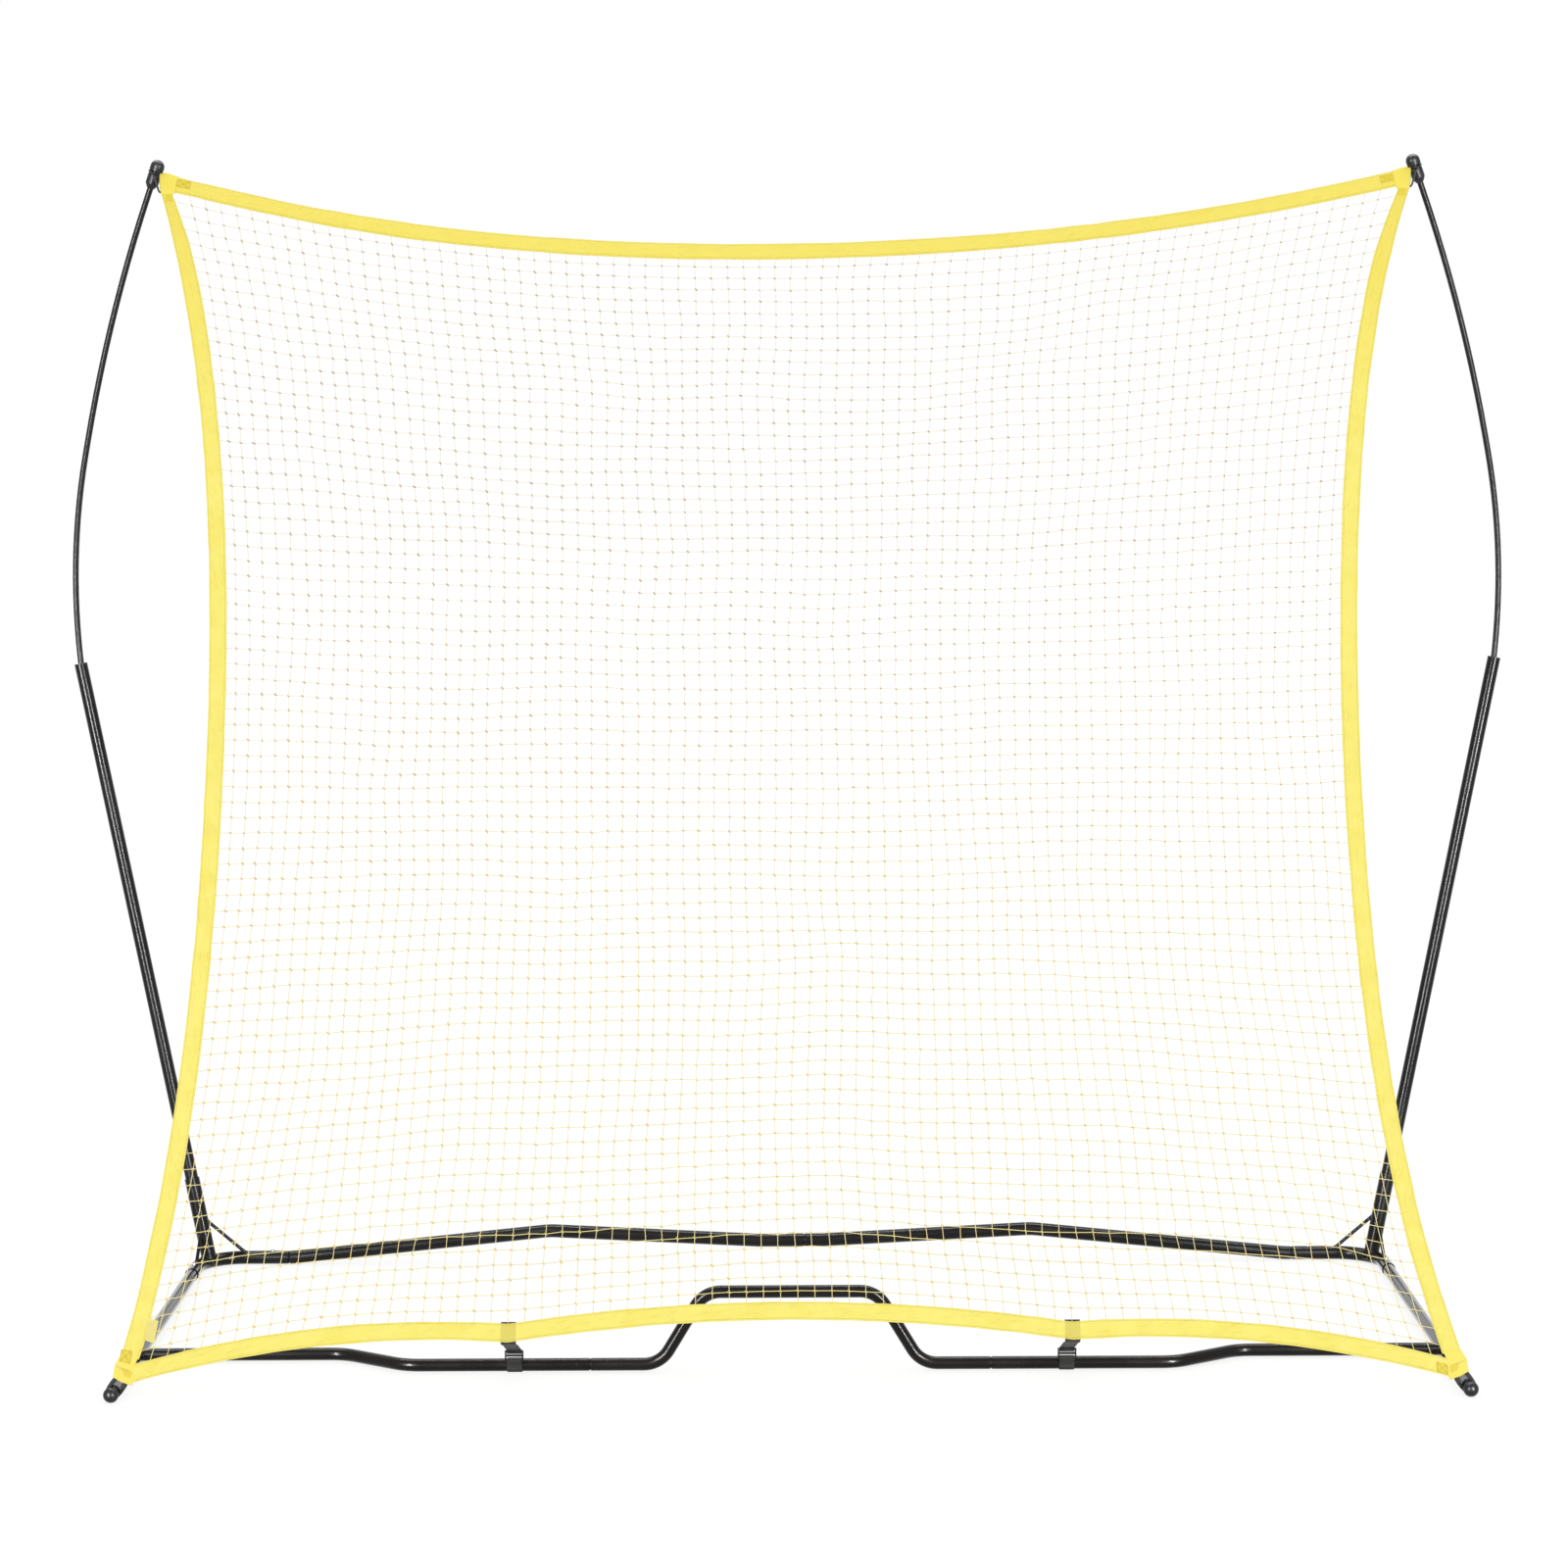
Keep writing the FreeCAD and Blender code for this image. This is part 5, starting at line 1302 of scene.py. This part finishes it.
@dataclass
class SteelFrame:
    """The tubes, sockets and braces, with the weld beads between them."""

    finishes: Finishes
    knob_y: float
    axis: float = TUBE_RADIUS
    bead: float = 0.0019
    bend: float = 0.080
    depth: float = 0.928
    front_back: float = 0.245
    socket: float = 0.014
    brace: float = 0.00325
    side_tube: float = 0.011

    def dress(self) -> None:
        """Give every carried-over node its finish."""
        kinds = (
            (("rear_corner", "rear_bar", "side_tube", "front_bar", "upright", "brace"), self.finishes.steel),
            (("post_knob", "rod_bush", "rod_seat", "tip_cap"), self.finishes.plastic),
            (("strap_buckle",), self.finishes.buckle),
            (("rod_left", "rod_right"), self.finishes.rod),
            (("snap_button",), self.finishes.plated),
        )
        for name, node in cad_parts.items():
            for starts, material in kinds:
                if name.startswith(starts):
                    for slot in node.material_slots:
                        slot.material = material
                    break

    def corner_distance(self, point: np.ndarray) -> float:
        """Return a point's distance from the corner tube's middle line."""
        bend, x0, y0 = self.bend, KNOB_HALF, self.knob_y + self.depth
        x, y, z = point
        if x > x0 - bend and y > y0 - bend:
            flat = math.hypot(x - (x0 - bend), y - (y0 - bend)) - bend
        elif y <= y0 - bend:
            flat = x - x0
        else:
            flat = y - y0
        return math.hypot(flat, z - self.axis)

    def tube_distance(self, start: np.ndarray, end: np.ndarray) -> Callable[[np.ndarray], float]:
        """Return a function that measures the distance from a straight tube's middle line."""
        along = unit(end - start)
        return lambda point: float(np.linalg.norm(np.cross(point - start, along)))

    def seam(
        self, name: str, start: np.ndarray, end: np.ndarray, radius: float,
        distance: Callable[[np.ndarray], float], reach: float, side: Side,
    ) -> bpy.types.Object:
        """Make the weld bead where a round member ends on another tube.

        Args:
            name: the piece.
            start: a point of the member's axis inside the other tube.
            end: a point of its axis outside.
            radius: the member's radius.
            distance: measures the other tube's middle line.
            reach: the other tube's radius.
            side: which hand.

        Returns:
            The piece.
        """
        along = unit(end - start)
        first = unit(np.cross(along, np.array([0.3, 0.5, 0.8])))
        second = np.cross(along, first)
        count = max(26, int(radius * 2 * math.pi / 0.0011))
        points = []
        for turn in np.linspace(0.0, 2.0 * math.pi, count, endpoint=False):
            wall = start + (first * math.cos(turn) + second * math.sin(turn)) * radius
            low, high = -0.005, float(np.linalg.norm(end - start))
            for _ in range(30):
                middle = (low + high) / 2
                if distance(wall + along * middle) < reach:
                    low = middle
                else:
                    high = middle
            points.append(wall + along * low)
        path = np.array(points) * np.array([side.value, 1.0, 1.0])
        path = np.vstack([path, path[:1]])
        scallop = self.bead * min(1.0, radius / 0.006) * (1.0 + 0.14 * np.sin(np.arange(len(path)) * 1.3))
        rings = tube_rings(path, scallop, 8, np.array([0.21 * side.value, 0.33, 0.92]))[:-1]
        shape = Shape()
        shape.add_rings(rings, capped=False, looped=True)
        piece = shape.build(name, self.finishes.steel)
        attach(piece, "frame")
        return piece

    def build(self) -> List[bpy.types.Object]:
        """Dress the nodes and add the beads."""
        self.dress()
        lean = unit(np.array([math.tan(math.radians(11.44)), math.tan(math.radians(3.59)), 1.0]))
        turn = math.radians(38.0)
        rear_y = self.knob_y + self.depth
        base_y = rear_y - self.bend + self.bend * math.sin(turn)
        base = np.array([1.020 + self.bend * math.cos(turn), base_y, self.axis])
        inner_foot = np.array([1.010, rear_y, self.axis])
        outer_foot = np.array([1.100, self.knob_y + 0.838, self.axis])
        high = base + lean * 0.090
        middle = base + lean * 0.069
        socket = self.tube_distance(base, base + lean)
        ends = [np.array([KNOB_HALF, y, self.axis]) for y in (0.0, 1.0)]
        side_tube = self.tube_distance(*ends)
        front = np.array([KNOB_HALF, self.knob_y + self.front_back, self.axis])
        corner = (self.corner_distance, TUBE_RADIUS)
        inside = front - np.array([0.05, 0, 0])
        pieces = []
        for side in Side:
            word = side.word
            seams = (
                (f"socket_weld_{word}", base, base + lean * 0.06, self.socket, *corner),
                (f"inner_brace_low_weld_{word}", inner_foot, high, self.brace, *corner),
                (f"inner_brace_high_weld_{word}", high, inner_foot, self.brace, socket, self.socket),
                (f"outer_brace_low_weld_{word}", outer_foot, middle, self.brace, *corner),
                (f"outer_brace_high_weld_{word}", middle, outer_foot, self.brace, socket, self.socket),
                (f"front_bar_weld_{word}", front, inside, FRONT_RADIUS, side_tube, self.side_tube),
            )
            for seam in seams:
                pieces.append(self.seam(*seam, side))
        return pieces


@dataclass
class Studio:
    """Camera, floor and lights."""

    back: float
    height: float = 1.62055
    pitch: float = 6.2388
    yaw: float = 0.0626
    roll: float = -0.275
    focal: float = 82.33
    daylight: float = 0.86

    def camera(self) -> None:
        """Place the camera as the photograph has it."""
        data = bpy.data.cameras.new("camera")
        data.lens = self.focal
        data.sensor_width = 36.0
        data.clip_end = 60.0
        camera = bpy.data.objects.new("camera", data)
        turn = Matrix.Rotation(math.radians(self.yaw), 4, "Z")
        turn = turn @ Matrix.Rotation(math.radians(90.0 - self.pitch), 4, "X")
        turn = turn @ Matrix.Rotation(math.radians(self.roll), 4, "Z")
        camera.matrix_world = Matrix.Translation((0.0, self.back, self.height)) @ turn
        bpy.context.scene.collection.objects.link(camera)
        bpy.context.scene.camera = camera

    def world(self) -> None:
        """Light the scene evenly, and show white behind the object."""
        book = Book("studio", Use.SKY)
        sky = {"Color": (0.985, 0.99, 1.0), "Strength": self.daylight}
        light = book.node("ShaderNodeBackground", {}, sky)
        white = book.node("ShaderNodeBackground", {}, {"Color": (1.0, 1.0, 1.0), "Strength": 1.0})
        book.close(book.node("ShaderNodeMixShader", {}, {0: book.looking(), 1: light, 2: white}))
        bpy.context.scene.world = book.material

    def floor(self) -> None:
        """Lay the white floor, which glows a little where it is only looked at."""
        book = Book("floor_white")
        paint = {"Base Color": (0.96, 0.96, 0.96), "Roughness": 0.9, "Specular IOR Level": 0.05}
        plain = book.node("ShaderNodeBsdfPrincipled", {}, paint)
        glow = book.node("ShaderNodeEmission", {}, {"Color": (1.0, 1.0, 1.0), "Strength": 1.06})
        book.close(book.node("ShaderNodeMixShader", {}, {0: book.looking() * 0.8, 1: plain, 2: glow}))
        mesh = bpy.data.meshes.new("floor")
        half = 30.0
        corners = [(-half, -half, 0), (half, -half, 0), (half, half, 0), (-half, half, 0)]
        mesh.from_pydata(corners, [], [(0, 1, 2, 3)])
        mesh.materials.append(book.material)
        floor = bpy.data.objects.new("floor", mesh)
        floor.location.z = -0.0005
        bpy.context.scene.collection.objects.link(floor)

    def place(self, lamp: bpy.types.Object, spot: Sequence[float], target: Sequence[float]) -> None:
        """Stand a lamp and turn it to its target."""
        lamp.location = spot
        lamp.rotation_mode = "QUATERNION"
        lamp.rotation_quaternion = (Vector(target) - Vector(spot)).to_track_quat("-Z", "Y")
        bpy.context.scene.collection.objects.link(lamp)

    def sun(self, name: str, spot: Sequence[float], strength: float) -> None:
        """Add one wide soft key light.

        Args:
            name: its name.
            spot: where it shines from.
            strength: how much light it gives.
        """
        data = bpy.data.lights.new(name, "SUN")
        data.energy = strength
        data.angle = math.radians(50.0)
        self.place(bpy.data.objects.new(name, data), spot, (0.0, 0.0, 0.8))

    def strip(
        self, name: str, spot: Sequence[float], target: Sequence[float], size: Spot, radiance: float
    ) -> None:
        """Add one strip that shows in glossy surfaces alone, as a reflector card does.

        Args:
            name: its name.
            spot: where it stands.
            target: what it faces.
            size: its width and height.
            radiance: how bright it looks.
        """
        data = bpy.data.lights.new(name, "AREA")
        data.shape = "RECTANGLE"
        data.size, data.size_y = size
        data.energy = radiance * math.pi * size[0] * size[1]
        data.spread = math.radians(110.0)
        lamp = bpy.data.objects.new(name, data)
        lamp.visible_diffuse = False
        self.place(lamp, spot, target)

    def build(self) -> None:
        """Set up the whole studio."""
        bpy.context.scene.view_settings.view_transform = "Standard"
        self.camera()
        self.world()
        self.floor()
        self.sun("left_sun", (-3.0, -5.0, 4.0), 0.30)
        self.sun("right_sun", (3.0, -5.0, 4.0), 0.30)
        self.strip("left_strip", (-3.7, -6.0, 1.9), (-2.4, 0.0, 0.9), (0.5, 3.7), 100.0)
        self.strip("right_strip", (3.7, -6.0, 1.9), (2.4, 0.0, 0.9), (0.5, 3.7), 100.0)
        self.strip("top_strip", (0.0, 1.2, 4.2), (0.0, 0.0, 0.3), (5.0, 0.5), 12.0)


def main() -> None:
    """Build the rebounder and its studio."""
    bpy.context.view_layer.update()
    knob_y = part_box("post_knob_right")[0][1] + TUBE_RADIUS
    finishes = Finishes.build()
    Studio(back=knob_y - 5.65876).build()
    plane = NetPlane(foot_y=knob_y + 0.012)
    assemblies = (
        SteelFrame(finishes, knob_y),
        Net(plane, finishes),
        Bands(plane, finishes),
        Patches(plane, finishes),
        CornerLoops(plane, finishes),
        Straps(plane, finishes, knob_y + 0.172),
        Label(plane, finishes),
    )
    for assembly in assemblies:
        for piece in assembly.build():
            log.info("%s: %s", type(assembly).__name__, piece.name)


if __name__ == "__main__":
    main()
